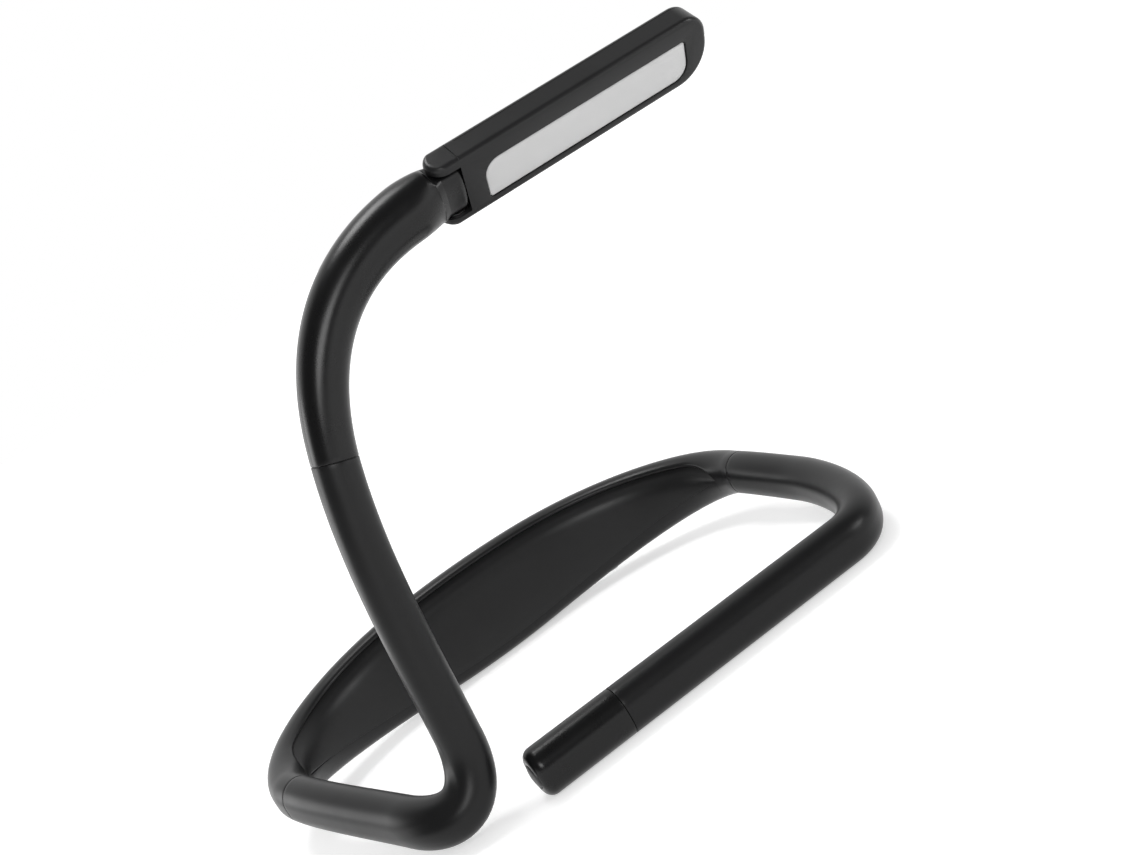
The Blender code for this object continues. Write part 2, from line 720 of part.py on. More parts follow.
def make_elbow(parts, cutters, finishes, arm_frame, root, core_path):
    """The rigid elbow widens towards the hinge and ends in a tongue between the head's ears."""
    path = elbow_route(frame_at(core_path, core_path["marks"][-1])["side"])
    swell_end, total = path["marks"][1:3]
    rings = []
    for length in np.linspace(SEAM_GAP / 2, swell_end, 13):
        widened = (length / swell_end) ** ELBOW_SWELL_share
        rings.append(elbow_outline(frame_at(path, length), widened, 0.0))
    flat_start = total - SHOULDER_END
    for length in np.linspace(swell_end, flat_start, 6)[1:]:
        part = (length - swell_end) / (flat_start - swell_end)
        squared = part * part * (3 - 2 * part)
        rings.append(elbow_outline(frame_at(path, length), 1.0, squared))
    knuckle = frame_at(path, total)
    for angle in np.linspace(0.0, math.pi / 2, 5):
        reach = TONGUE_REACH - TONGUE_CORNER * (1 - math.sin(angle))
        tongue_thick = TONGUE_THICK - 2 * TONGUE_CORNER * (1 - math.cos(angle))
        rings.append(elbow_outline(straight_on(knuckle, reach), 1.0, 1.0, tongue_thick))
    elbow = loft("elbow", rings, finishes["gloss"], parts)
    end = frame_at(core_path, core_path["marks"][-1])
    bore_start = end["at"] - end["along"] * OVERRUN
    bore_end = end["at"] + end["along"] * (CLAMP_LENGTH + SEAM_GAP)
    bore = as_mesh(rod("core_bore", [bore_start, bore_end], CORE_DIAMETER / 2 + SEAM_GAP, None, cutters))
    combine(elbow, bore, "DIFFERENCE")
    hang([elbow, bore], arm_frame)

    hinge = (-BAND_HALF + HINGE_IN, -LAMP_FORWARD, HINGE_HEIGHT)
    seat = empty("hinge_seat", root, hinge, (HEAD_ROLL, 0.0, 0.0))
    pin_hole = cylinder(
        "tongue_pin_hole", PIN_DIAMETER / 2 + SEAM_GAP, TONGUE_WIDTH + 2 * OVERRUN, (0.0, 0.0, 0.0),
        (0.0, 1.0, 0.0), None, cutters, sides=16,
    )
    combine(elbow, pin_hole, "DIFFERENCE")
    pin_length = HEAD_WIDTH - 2 * EAR_INSET - EAR_WIDTH - 2 * SEAM_GAP
    pin = cylinder(
        "hinge_pin", PIN_DIAMETER / 2, pin_length, (0.0, 0.0, 0.0), (0.0, 1.0, 0.0),
        finishes["steel"], parts, sides=16,
    )
    place([pin_hole, pin], seat)
    bpy.context.view_layer.update()
    seat.parent = arm_frame
    seat.matrix_parent_inverse = arm_frame.matrix_world.inverted()
    return hinge


# Lamp head

def rounded_plate(start, end, half_width, radii, shift=0.0, offset=0.0, height=0.0):
    """Points round a plate from start to end along X, inset all round by offset, at one height.

    The radii are of its corners in turn: lower end, lower start, upper start and upper end, where
    the lower side is towards +Y.
    """
    points = []
    corners = ((end, half_width), (start, half_width), (start, -half_width), (end, -half_width))
    for number, ((x, y), radius) in enumerate(zip(corners, radii)):
        inward = -1 if x == end else 1
        down = -1 if y > 0 else 1
        left = max(radius - offset, SMALLEST_RADIUS)
        centre_x = x + inward * (offset + left)
        centre_y = shift + y + down * (offset + left)
        first = number * 0.5 * math.pi
        for angle in np.linspace(first, first + 0.5 * math.pi, 7):
            points.append((centre_x + left * math.cos(angle), centre_y + left * math.sin(angle), height))
    return points


def head_outline(offset, height):
    radii = (HEAD_TIP_RADIUS, HEAD_REAR_RADIUS, HEAD_REAR_RADIUS, HEAD_TIP_UPPER_RADIUS)
    return rounded_plate(HEAD_REAR, HEAD_LENGTH, HEAD_WIDTH / 2, radii, offset=offset, height=height)


def cavity_outline(offset, height):
    lower, upper = HEAD_TIP_RADIUS - HEAD_WALL, HEAD_TIP_UPPER_RADIUS - HEAD_WALL
    return rounded_plate(
        HEAD_REAR + REAR_WALL, HEAD_LENGTH - HEAD_WALL, HEAD_WIDTH / 2 - HEAD_WALL,
        (lower, HEAD_REAR_RADIUS, HEAD_REAR_RADIUS, upper), offset=offset, height=height,
    )


def window_outline(offset, height):
    """The lens window. Two opposite corners are wide and two are tight."""
    return rounded_plate(
        WINDOW_START, HEAD_LENGTH - WINDOW_END_MARGIN, WINDOW_WIDTH / 2,
        (WINDOW_RADIUS, WINDOW_SHARP_RADIUS, WINDOW_RADIUS, WINDOW_SHARP_RADIUS),
        shift=WINDOW_SHIFT, offset=offset, height=height,
    )


def make_case(parts, cutters, finishes):
    """The front case: a tray with the lens window in its floor and two hinge ears at its rear."""
    face = -HEAD_THICK / 2
    parting = HEAD_THICK / 2 - COVER_THICK
    rings = [head_outline(0.0, parting), head_outline(0.0, face + FACE_FILLET)]
    for angle in np.linspace(0.0, math.pi / 2, 5)[1:]:
        inset = FACE_FILLET * (1 - math.cos(angle))
        rings.append(head_outline(inset, face + FACE_FILLET * (1 - math.sin(angle))))
    rings.append(window_outline(0.0, face))
    rings.append(window_outline(0.0, face + FACE_WALL))
    rings.append(cavity_outline(0.0, face + FACE_WALL))
    rings.append(cavity_outline(0.0, parting))
    case = loft("head_case", rings, finishes["shell"], parts, ring_shaped=True)
    tools = []
    for number, side in enumerate((-1, 1), 1):
        outer = HEAD_WIDTH / 2 - EAR_INSET
        middle = side * (outer - EAR_WIDTH / 2)
        ear = cylinder(
            f"ear_{number}", EAR_RADIUS, EAR_WIDTH, (0.0, middle, 0.0), (0.0, 1.0, 0.0), None, cutters,
        )
        rounding = ear.modifiers.new("edges", "BEVEL")
        rounding.width = EAR_WIDTH * EAR_ROUND_share
        rounding.segments = 3
        web_length = HEAD_REAR + REAR_WALL / 2
        web = box(
            f"ear_web_{number}", (web_length, EAR_WIDTH - 2 * SEAM_GAP, parting - face - FACE_FILLET),
            (web_length / 2, middle, (parting + face + FACE_FILLET) / 2 - SEAM_GAP), None, cutters,
        )
        hole = cylinder(
            f"ear_hole_{number}", PIN_DIAMETER / 2 + SEAM_GAP, EAR_WIDTH,
            (0.0, side * (outer - EAR_WIDTH), 0.0), (0.0, 1.0, 0.0), None, cutters, sides=16,
        )
        combine(case, web, "UNION")
        combine(case, ear, "UNION")
        combine(case, hole, "DIFFERENCE")
        tools += [ear, web, hole]
    return case, tools


def slot_wall(cutters):
    """The round wall in the head's rear, which the tongue's end turns in."""
    corner = math.hypot(TONGUE_REACH - TONGUE_CORNER, TONGUE_THICK / 2 - TONGUE_CORNER)
    radius = corner + TONGUE_CORNER + SEAM_GAP
    width = 2 * (HEAD_WIDTH / 2 - EAR_INSET - EAR_WIDTH)
    return cylinder("slot_wall", radius, width, (0.0, 0.0, 0.0), (0.0, 1.0, 0.0), None, cutters, sides=48)


def make_cover(parts, finishes):
    """The back cover: a plate with a rounded rim and a lip that locates it in the case."""
    parting = HEAD_THICK / 2 - COVER_THICK + SEAM_GAP
    lip_base = parting - COVER_LIP
    fillet = COVER_THICK - SEAM_GAP
    rings = [
        cavity_outline(SEAM_GAP, lip_base),
        cavity_outline(SEAM_GAP, parting),
        head_outline(0.0, parting),
    ]
    for angle in np.linspace(0.0, math.pi / 2, 5)[1:]:
        inset = BACK_FILLET * (1 - math.cos(angle))
        rings.append(head_outline(inset, parting + fillet * math.sin(angle)))
    return loft("head_cover", rings, finishes["shell"], parts)


def make_head(parts, cutters, finishes, head_frame):
    face = -HEAD_THICK / 2
    case, tools = make_case(parts, cutters, finishes)
    cover = make_cover(parts, finishes)
    wall = slot_wall(cutters)
    combine(case, wall, "DIFFERENCE")
    combine(cover, wall, "DIFFERENCE")
    lens_face = face + FACE_WALL + SEAM_GAP
    lens = loft(
        "lens",
        [window_outline(-LENS_MARGIN, lens_face), window_outline(-LENS_MARGIN, lens_face + LENS_THICK)],
        finishes["lens"], parts,
    )
    start, end = WINDOW_START, HEAD_LENGTH - WINDOW_END_MARGIN
    led_z = lens_face + LENS_THICK + LED_CLEARANCE
    board_z = led_z + LED_THICK
    board = box(
        "led_board", (end - start, LED_BOARD_WIDTH, LED_BOARD_THICK),
        ((start + end) / 2, WINDOW_SHIFT, board_z + LED_BOARD_THICK / 2), finishes["board"], parts,
    )
    pad_base = board_z + LED_BOARD_THICK + SEAM_GAP
    pad_top = HEAD_THICK / 2 - COVER_THICK - COVER_LIP
    pad_length = (end - start) * THERMAL_PAD_share
    thermal_pad = box(
        "thermal_pad", (pad_length, LED_BOARD_WIDTH * THERMAL_PAD_share, pad_top - pad_base),
        ((start + end) / 2, WINDOW_SHIFT, (pad_top + pad_base) / 2), finishes["tape"], parts,
    )
    pieces = [case, cover, lens, board, thermal_pad, wall, *tools]
    pitch = (end - start) / LED_COUNT
    for number in range(LED_COUNT):
        pieces.append(box(
            f"led_{number + 1}", (LED_LENGTH, LED_WIDTH, LED_THICK - SEAM_GAP),
            (start + pitch * (number + 0.5), WINDOW_SHIFT, led_z + (LED_THICK - SEAM_GAP) / 2),
            finishes["led"], parts,
        ))
    for number, side in enumerate((-1, 1), 1):
        ear_face = HEAD_WIDTH / 2 - EAR_INSET - EAR_WIDTH
        middle = side * (TONGUE_WIDTH / 2 + ear_face) / 2
        pieces.append(make_washer(f"hinge_washer_{number}", middle, finishes, parts))
    place(pieces, head_frame)


def make_washer(name, middle, finishes, parts):
    """A thin friction ring between the tongue and an ear."""
    rings = []
    for radius, reach in (
        (WASHER_DIAMETER / 2, -WASHER_THICK / 2),
        (WASHER_DIAMETER / 2, WASHER_THICK / 2),
        (PIN_DIAMETER / 2 + SEAM_GAP, WASHER_THICK / 2),
        (PIN_DIAMETER / 2 + SEAM_GAP, -WASHER_THICK / 2),
    ):
        rings.append([(u, middle + reach, v) for u, v in circle(radius)])
    return loft(name, rings, finishes["steel"], parts, ring_shaped=True)


# Switch cap at the free arm's end

def make_cap(parts, finishes, arm_frame, root, path):
    """A hollow cap closes the arm. A button in its end presses the switch inside."""
    seat = frame_at(path, path["marks"][-1])

    def across(distance, outline):
        return section(straight_on(seat, distance), outline)

    first = SEAM_GAP / 2
    hole = BUTTON_DIAMETER / 2 + SEAM_GAP
    rings = [across(first, oval(TUBE_THICK, TUBE_TALL))]
    for angle in np.linspace(0.0, math.pi / 2, 6)[:-1]:
        inset = CAP_FILLET * (1 - math.cos(angle))
        distance = CAP_LENGTH - CAP_FILLET * (1 - math.sin(angle))
        rings.append(across(distance, oval(TUBE_THICK - 2 * inset, TUBE_TALL - 2 * inset)))
    rings.append(across(CAP_LENGTH, circle(hole)))
    floor = CAP_LENGTH - BAND_WALL
    rings.append(across(floor, circle(hole)))
    inner = oval(TUBE_THICK - 2 * BAND_WALL, TUBE_TALL - 2 * BAND_WALL)
    rings.append(across(floor, inner))
    rings.append(across(first, inner))
    cap = loft("switch_cap", rings, finishes["gloss"], parts, ring_shaped=True)
    inside = [straight_on(seat, reach) for reach in (SEAM_GAP, CLAMP_LENGTH)]
    clamp = core_clamp("cap_core_clamp", inside, finishes["nylon"], parts)

    stem_end = floor - BUTTON_FLANGE - SEAM_GAP - BUTTON_TRAVEL
    switch_top = stem_end - SEAM_GAP
    switch_centre = straight_on(seat, switch_top - SWITCH_THICK / 2)["at"]
    switch = box(
        "press_switch", (SWITCH_THICK, SWITCH_SIZE, SWITCH_SIZE), switch_centre, finishes["steel"], parts,
    )
    slack = 2 * (BAND_WALL + SEAM_GAP)
    outline = oval(TUBE_THICK - slack, TUBE_TALL - slack)
    board_top = switch_top - SWITCH_THICK - SEAM_GAP
    board_rings = [across(board_top - SWITCH_BOARD_THICK, outline), across(board_top, outline)]
    board = loft("switch_board", board_rings, finishes["board"], parts)
    hang([cap, clamp, switch, board], arm_frame)

    guide = empty("button_guide", root, seat["at"] + seat["along"] * CAP_LENGTH, (0.0, 0.0, 0.0))
    radius = BUTTON_DIAMETER / 2
    behind = BAND_WALL + SEAM_GAP
    flange = radius + BUTTON_FLANGE * BUTTON_FLANGE_share
    profile = [(0.0, -BUTTON_DOME)]
    profile += [(radius * out, -BUTTON_DOME * rise) for out, rise in BUTTON_dome_shares]
    profile += [(radius, behind), (flange, behind), (flange, behind + BUTTON_FLANGE)]
    profile.append((0.0, behind + BUTTON_FLANGE))
    button = turned("power_button", profile, finishes["shell"], parts)
    place([button], guide)
    bpy.context.view_layer.update()
    guide.parent = arm_frame
    guide.matrix_parent_inverse = arm_frame.matrix_world.inverted()
    return guide


def turned(name, profile, finish, collection, sides=24):
    """A body turned about X. The profile gives (radius, distance along X) from end to end."""
    bm = bmesh.new()
    verts = [bm.verts.new((x, 0.0, radius)) for radius, x in profile]
    for one, other in zip(verts, verts[1:]):
        bm.edges.new((one, other))
    mesh = bpy.data.meshes.new(name)
    bm.to_mesh(mesh)
    bm.free()
    made = bpy.data.objects.new(name, mesh)
    made.data.materials.append(finish)
    collection.objects.link(made)
    screw = made.modifiers.new("turn", "SCREW")
    screw.axis = "X"
    screw.steps = sides
    screw.render_steps = sides
    screw.use_merge_vertices = True
    screw.merge_threshold = MERGE_DISTANCE
    screw.use_normal_calculate = True
    screw.use_normal_flip = True
    screw.use_smooth_shade = True
    return made


def centre_on_origin(parts, root):
    """Moves the whole so that its box's bottom centre is at the origin."""
    bpy.context.view_layer.update()
    graph = bpy.context.evaluated_depsgraph_get()
    corners = []
    for made in parts.objects:
        seen = made.evaluated_get(graph)
        mesh = seen.to_mesh()
        corners += [seen.matrix_world @ v.co for v in mesh.vertices]
        seen.to_mesh_clear()
    corners = np.array(corners)
    low, high = corners.min(axis=0), corners.max(axis=0)
    root.location = (-(low[0] + high[0]) / 2, -(low[1] + high[1]) / 2, -low[2])
    bpy.context.view_layer.update()


def main():
    for old in list(bpy.data.objects):
        bpy.data.objects.remove(old)
    parts = new_collection(COLLECTION)
    cutters = new_collection("cutters")
    finishes = {
        "shell": material("satin_black", (0.030, 0.030, 0.032), 0.38),
        "pad": material("soft_black", (0.034, 0.034, 0.036), 0.52),
        "sleeve": material("silicone_black", (0.036, 0.036, 0.038), 0.48),
        "gloss": material("gloss_black", (0.026, 0.026, 0.028), 0.24),
        "lens": material("diffuser_white", (0.72, 0.72, 0.72), 0.45),
        "steel": material("steel", (0.55, 0.55, 0.56), 0.35, metallic=1.0),
        "nylon": material("nylon", (0.12, 0.12, 0.12), 0.6),
        "board": material("circuit_board", (0.02, 0.16, 0.07), 0.55),
        "cell": material("cell_foil", (0.62, 0.63, 0.65), 0.3, metallic=0.8),
        "tape": material("foam_tape", (0.75, 0.75, 0.72), 0.9),
        "led": material("led_phosphor", (0.9, 0.78, 0.25), 0.4),
    }
    root = empty("band_frame")
    band = make_band(parts, cutters, finishes, root)
    near, far, frames = make_arms(parts, finishes, root, band)
    hinge = make_elbow(parts, cutters, finishes, frames["lamp_arm"], root, near)
    head_frame = empty("head_pivot", root, hinge, (HEAD_ROLL, 0.0, 0.0))
    make_head(parts, cutters, finishes, head_frame)
    head_frame.parent = frames["lamp_arm"]
    head_frame.matrix_parent_inverse = frames["lamp_arm"].matrix_world.inverted()
    make_cap(parts, finishes, frames["free_arm"], root, far)
    centre_on_origin(parts, root)


main()
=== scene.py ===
"""Looks for the neck reading light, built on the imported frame. Metres, +Z up."""
import math

import bmesh
import bpy
import numpy as np
from mathutils import Euler, Matrix, Vector


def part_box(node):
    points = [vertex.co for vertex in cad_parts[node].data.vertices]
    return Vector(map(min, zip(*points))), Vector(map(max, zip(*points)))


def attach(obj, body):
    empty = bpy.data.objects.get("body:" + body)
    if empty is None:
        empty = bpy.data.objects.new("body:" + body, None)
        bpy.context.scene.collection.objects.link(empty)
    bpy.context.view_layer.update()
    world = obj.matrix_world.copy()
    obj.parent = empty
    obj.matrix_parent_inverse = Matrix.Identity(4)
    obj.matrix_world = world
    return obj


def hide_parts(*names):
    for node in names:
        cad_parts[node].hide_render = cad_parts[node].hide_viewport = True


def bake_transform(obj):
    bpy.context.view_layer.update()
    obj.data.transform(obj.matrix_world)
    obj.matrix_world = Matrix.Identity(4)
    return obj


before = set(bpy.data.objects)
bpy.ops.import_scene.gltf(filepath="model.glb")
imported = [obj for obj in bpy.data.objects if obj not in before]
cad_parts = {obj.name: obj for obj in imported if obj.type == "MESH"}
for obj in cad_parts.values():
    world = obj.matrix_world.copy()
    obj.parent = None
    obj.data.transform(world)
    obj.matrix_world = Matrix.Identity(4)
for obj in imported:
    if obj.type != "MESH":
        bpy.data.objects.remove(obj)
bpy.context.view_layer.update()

# Sizes repeated from the part's source
SEAM_GAP = 0.0003
TUBE_TALL = 0.0135
TUBE_THICK = 0.0115
SLEEVE_WALL = 0.0019
CORE_DIAMETER = 0.0064
CLAMP_LENGTH = 0.010
BAND_HALF = 0.082
BAND_SAG = 0.048
BAND_FLAT_HALF = 0.020
BAND_CURVE = 2.1
BAND_HEIGHT = 0.0340
BAND_THICK = 0.0125
BAND_WALL = 0.0016
BAND_SWELL = 1.27
PAD_MARGIN = 0.0045
TAPE_THICK = 0.0005
BOARD_FROM_MIDDLE = 0.042
SOCKET_WIDTH = 0.0090
SOCKET_DEPTH = 0.0033
SOCKET_LENGTH = 0.0072
SOCKET_WALL = 0.0004
SOCKET_FLOOR = 0.0012
NEAR_SEAM_REACH = 0.0120
NEAR_BEND_IN = 0.018
NEAR_BEND_FORWARD = 0.058
NEAR_BEND_HEIGHT = 0.0098
NEAR_BEND_ARRIVE = 0.0193
NEAR_BEND_REACH = 0.0209
NEAR_BEND_AIM = (0.30, -0.93, -0.10)
LAMP_FOOT_IN = 0.0380
LAMP_FOOT_HEIGHT = 0.025
LAMP_FOOT_REACH = 0.0189
LAMP_FOOT_AIM = (0.10, 0.0, 1.0)
LAMP_ARM_REACH = 0.0243
LAMP_FORWARD = 0.070
ELBOW_IN = 0.0491
ELBOW_HEIGHT = 0.0973
ELBOW_AIM = (0.30, 0.0, 0.954)
ELBOW_LEAVE = 0.0290
ELBOW_ARRIVE = 0.0330
HINGE_IN = 0.109
HINGE_HEIGHT = 0.1385
SHOULDER_START = 0.0066
SHOULDER_END = 0.0046
TONGUE_REACH = 0.0041
TONGUE_WIDTH = 0.0128
PIN_DIAMETER = 0.0030
HEAD_ROLL = math.radians(-48.0)
HEAD_LENGTH = 0.0799
HEAD_WIDTH = 0.0187
HEAD_THICK = 0.0087
HEAD_REAR = 0.0032
HEAD_TIP_RADIUS = 0.0102
HEAD_WALL = 0.0015
FACE_WALL = 0.0011
FACE_FILLET = 0.0014
COVER_THICK = 0.0019
EAR_WIDTH = 0.0022
EAR_INSET = 0.0001
REAR_WALL = 0.0044
WINDOW_START = 0.0089
WINDOW_END_MARGIN = 0.0070
WINDOW_WIDTH = 0.0108
WINDOW_SHIFT = 0.0016
WINDOW_RADIUS = 0.0046
WINDOW_SHARP_RADIUS = 0.0010
LENS_MARGIN = 0.0005
LENS_THICK = 0.0010
FAR_SEAM_REACH = 0.0078
FAR_BEND_OUT = 0.0038
FAR_BEND_FORWARD = 0.031
FAR_BEND_HEIGHT = 0.0128
FAR_BEND_ARRIVE = 0.0103
FAR_BEND_REACH = 0.0160
FAR_BEND_AIM = (0.08, -1.0, -0.12)
RING_FORWARD = 0.078
FREE_ARM_START = 0.015
CAP_FROM_FOOT = 0.0088
CAP_LENGTH = 0.0272
CAP_FILLET = 0.0028
BUTTON_DIAMETER = 0.0062
BUTTON_FLANGE = 0.0010
BUTTON_DOME = 0.0006

# Counts of points and stations
ROUND = 28
CORE_ROUND = 24
CORE_STATIONS = 120
TUBE_STEPS = 90
BAND_POINTS = 241
WING_STATIONS = 64
FLAT_STATIONS = 6
BED_POINTS = 22
PAD_VALLEY_POINTS = 18
PAD_BACK_POINTS = 24
SOCKET_ROUND = 12
ELBOW_STATIONS = 60
CORNER_POINTS = 14
SLOT_POINTS = 41
HOLE_ROUND = 36
BUTTON_ROUND = 64
FLOOR_ROUND = 64

# Seams, which this scene rounds and sinks
LIP = 0.00018
LINE = 0.00014
GROOVE = 0.0005
EDGE = 0.00022
OVERRUN = 0.02
SKIN_STEP = 0.0011
MERGE = 0.0000005

# Angles from which an edge is shaded sharp, in degrees
SHARP = 38.0
ELBOW_SHARP = 45.0
ROUND_SHARP = 50.0

# The band's rim, its valley and its pad
RIM_MARGIN = 0.0026
RIM_ROUND = 0.0024
RIM_SHARE = 0.4
RIM_POINT_SHARES = (0.33, 0.67)
VALLEY_DEPTH = 0.0024
VALLEY_DEPTH_SHARE = 0.65
VALLEY_REACH = 0.0034
VALLEY_REACH_SHARE = 0.5
VALLEY_SPAN_SHARE = 1.5
FACE_SINK = 0.0005
FACE_SINK_SHARE = 0.4
CREASE = 0.0005
CREASE_LEAST = 0.00002
CREASE_SHARE = 0.3
CREASE_RISE = 10
CREASE_NEAR = 0.030
CREASE_FAR = 0.008
PAD_START = 0.006
PAD_TIP = 0.016
PAD_TIP_HALF = 0.001
PAD_LINE = 0.00001
PAD_SKIN = 0.0009
PAD_BACK_SHARE = 0.97
PAD_FLOOR = 0.0007
NEAR_SHELL = 0.0082
FAR_SHELL = 0.0036

# Distances from the pad's tip at which shell and pad are drawn, closer where they turn fast
SHELL_STATIONS = (-0.0004, 0.00002, 0.00006, 0.00015, 0.0003, 0.0006, 0.001, 0.0016, 0.0024, 0.0034,
                  0.0046, 0.006, 0.0078)
SHELL_CLEAR_BEFORE = 0.0003
SHELL_CLEAR_AFTER = 0.0005
PAD_STATIONS = (0.00003, 0.0001, 0.0003, 0.0007, 0.0013, 0.002, 0.003, 0.0043, 0.006, 0.008)
PAD_CLEAR = 0.0006

# The charging socket: how deep each ring of its mouth lies, and how far it flares
SOCKET_MOUTH = ((-0.004, 0.0006), (0.0, 0.00045), (0.0002, 0.0002), (0.0005, 0.00005), (0.0009, 0.0),
                (0.011, 0.0))
SOCKET_EDGE = 0.0002
SOCKET_TONGUE_SHARE = 0.72
SOCKET_TONGUE_THICK = 0.0008
SOCKET_TONGUE_START = 0.0012
SOCKET_TONGUE_ROOT = 0.0004
SOCKET_TONGUE_TAPER = 0.00012

# The elbow
ELBOW_END_WIDTH = 0.0160
ELBOW_SWELL = 1.3
SHOULDER_ROOT = 0.0026
SHOULDER_TAPER = 0.0135
SHOULDER_LIMIT_SHARE = 1.1
SHOULDER_SOFTNESS = 12
TONGUE_THICK = 0.0094
TONGUE_CORNER = 0.0028
TONGUE_SQUARENESS = 6.0

# The lamp head
HEAD_TIP_UPPER_RADIUS = 0.0060
BACK_FILLET = 0.0019
CAVITY_RADIUS = 0.003
LEAST_RADIUS = 0.00003
EAR_CORNER = 0.0015
EAR_END = 0.0031
EAR_LINE = 0.00032
COVER_START = 0.0062
PIN_HOLE_TURN = 0.04
LENS_SUNK = 0.00035
LENS_LINE = 0.00012
LENS_FILLET = 0.0003
LENS_CROWN = ((0.0012, 0.00008), (0.0030, 0.00016))

# The switch cap
CAP_CHAMFER = 0.0002
BUTTON_FACE_SHARE = 0.86
BUTTON_CROWN_SHARE = 0.55
BUTTON_EDGE_SHARES = ((0.95, -0.22), (0.99, 0.1), (1.0, 0.5))
BUTTON_FLANGE_SHARE = 0.6

# Finishes
CLOUD_SCALE = 55.0
SMUDGE_SCALE = 130.0
GRAIN_SCALE = 3000.0
GRAIN_DEPTH = 0.00004
NOISE_SHARES = (0.3, 0.7)
GLOSS_SHARES = (0.93, 1.08)
RUBBED_SHARES = (0.52, 0.60)
RUBBED_LIGHTER = 3.0
SCATTER_SHARE = 0.25
SCATTER_DEPTH = 0.001

# The stage
FLOOR_RADIUS = 12.0
FLOOR_DROP = 0.0002
FLOOR_TONE = 0.75
FLOOR_ROUGHNESS = 0.9
FLOOR_GLOW = 0.45
FAR_GLOW = 1.0
GLOW_START = 0.2
GLOW_END = 1.2
WHITE = (1.0, 1.0, 1.0, 1.0)
WORLD_FILL = 0.50
DIM_ROOM = 0.12
BACKDROP_AIM = (0.29, 0.957, 0.0)
BACKDROP_EDGE_SHARES = (0.05, 0.50)
LIGHTS_AIM = (0.0, 0.0, 0.06)
LIGHTS = (
    # Name, place, width, height and power
    ("top", (-0.03, 0.12, 1.0), 0.36, 0.36, 4.0),
    ("left_front", (-0.36, -0.98, 0.50), 0.56, 0.30, 4.8),
    ("right_front", (0.82, -0.74, 0.34), 0.32, 0.34, 3.2),
    ("back_left", (-0.86, 0.66, 0.26), 0.60, 0.44, 2.2),
)
CAMERA_LENS = 50.0
CAMERA_PLACE = (-0.0933757, -0.4451295, 0.1420368)
CAMERA_TURN = (78.1237, 30.9188, -23.2133)

# The part's own frame: the battery cell's place gives its offset from the source's frame
cell_low, cell_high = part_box("battery_cell")
CELL_BACK = BAND_SAG + BAND_THICK / 2 - BAND_WALL - 2 * SEAM_GAP - TAPE_THICK
OFFSET = np.array((
    (cell_low.x + cell_high.x) / 2,
    cell_high.y - CELL_BACK,
    (cell_low.z + cell_high.z) / 2 - BAND_HEIGHT / 2,
))


def unit(vector):
    vector = np.asarray(vector, float)
    return vector / np.linalg.norm(vector)


def quarter(count):
    """The angles of a quarter turn."""
    return np.linspace(0.0, math.pi / 2, count)


# Materials

def new_material(name):
    made = bpy.data.materials.new(name)
    made.use_nodes = True
    return made, made.node_tree, made.node_tree.nodes["Principled BSDF"]


def add_noise(tree, scale, detail=3.0, roughness=0.55):
    place = tree.nodes.new("ShaderNodeTexCoord")
    noise = tree.nodes.new("ShaderNodeTexNoise")
    noise.inputs["Scale"].default_value = scale
    noise.inputs["Detail"].default_value = detail
    noise.inputs["Roughness"].default_value = roughness
    tree.links.new(place.outputs["Object"], noise.inputs["Vector"])
    return noise.outputs["Fac"]


def spread(tree, source, start, end, low=0.0, high=1.0):
    """Maps the source's values from start to end onto low to high."""
    ramp = tree.nodes.new("ShaderNodeMapRange")
    ramp.inputs["From Min"].default_value = start
    ramp.inputs["From Max"].default_value = end
    ramp.inputs["To Min"].default_value = low
    ramp.inputs["To Max"].default_value = high
    tree.links.new(source, ramp.inputs["Value"])
    return ramp


def calculate(tree, operation, first, second):
    """A sum of a node's output with a number or with another node's output."""
    step = tree.nodes.new("ShaderNodeMath")
    step.operation = operation
    tree.links.new(first, step.inputs[0])
    if isinstance(second, float):
        step.inputs[1].default_value = second
    else:
        tree.links.new(second, step.inputs[1])
    return step.outputs["Value"]


def rub_edges(tree, found, colour, wear):
    """Lightens the colour found where the surface stands out."""
    geometry = tree.nodes.new("ShaderNodeNewGeometry")
    edge = spread(tree, geometry.outputs["Pointiness"], *RUBBED_SHARES)
    worn = tree.nodes.new("ShaderNodeMix")
    worn.data_type = "RGBA"
    worn.inputs["B"].default_value = (*(min(c * RUBBED_LIGHTER, 1.0) for c in colour), 1.0)
    tree.links.new(calculate(tree, "MULTIPLY", edge.outputs["Result"], wear), worn.inputs["Factor"])
    tree.links.new(found, worn.inputs["A"])
    return worn.outputs["Result"]


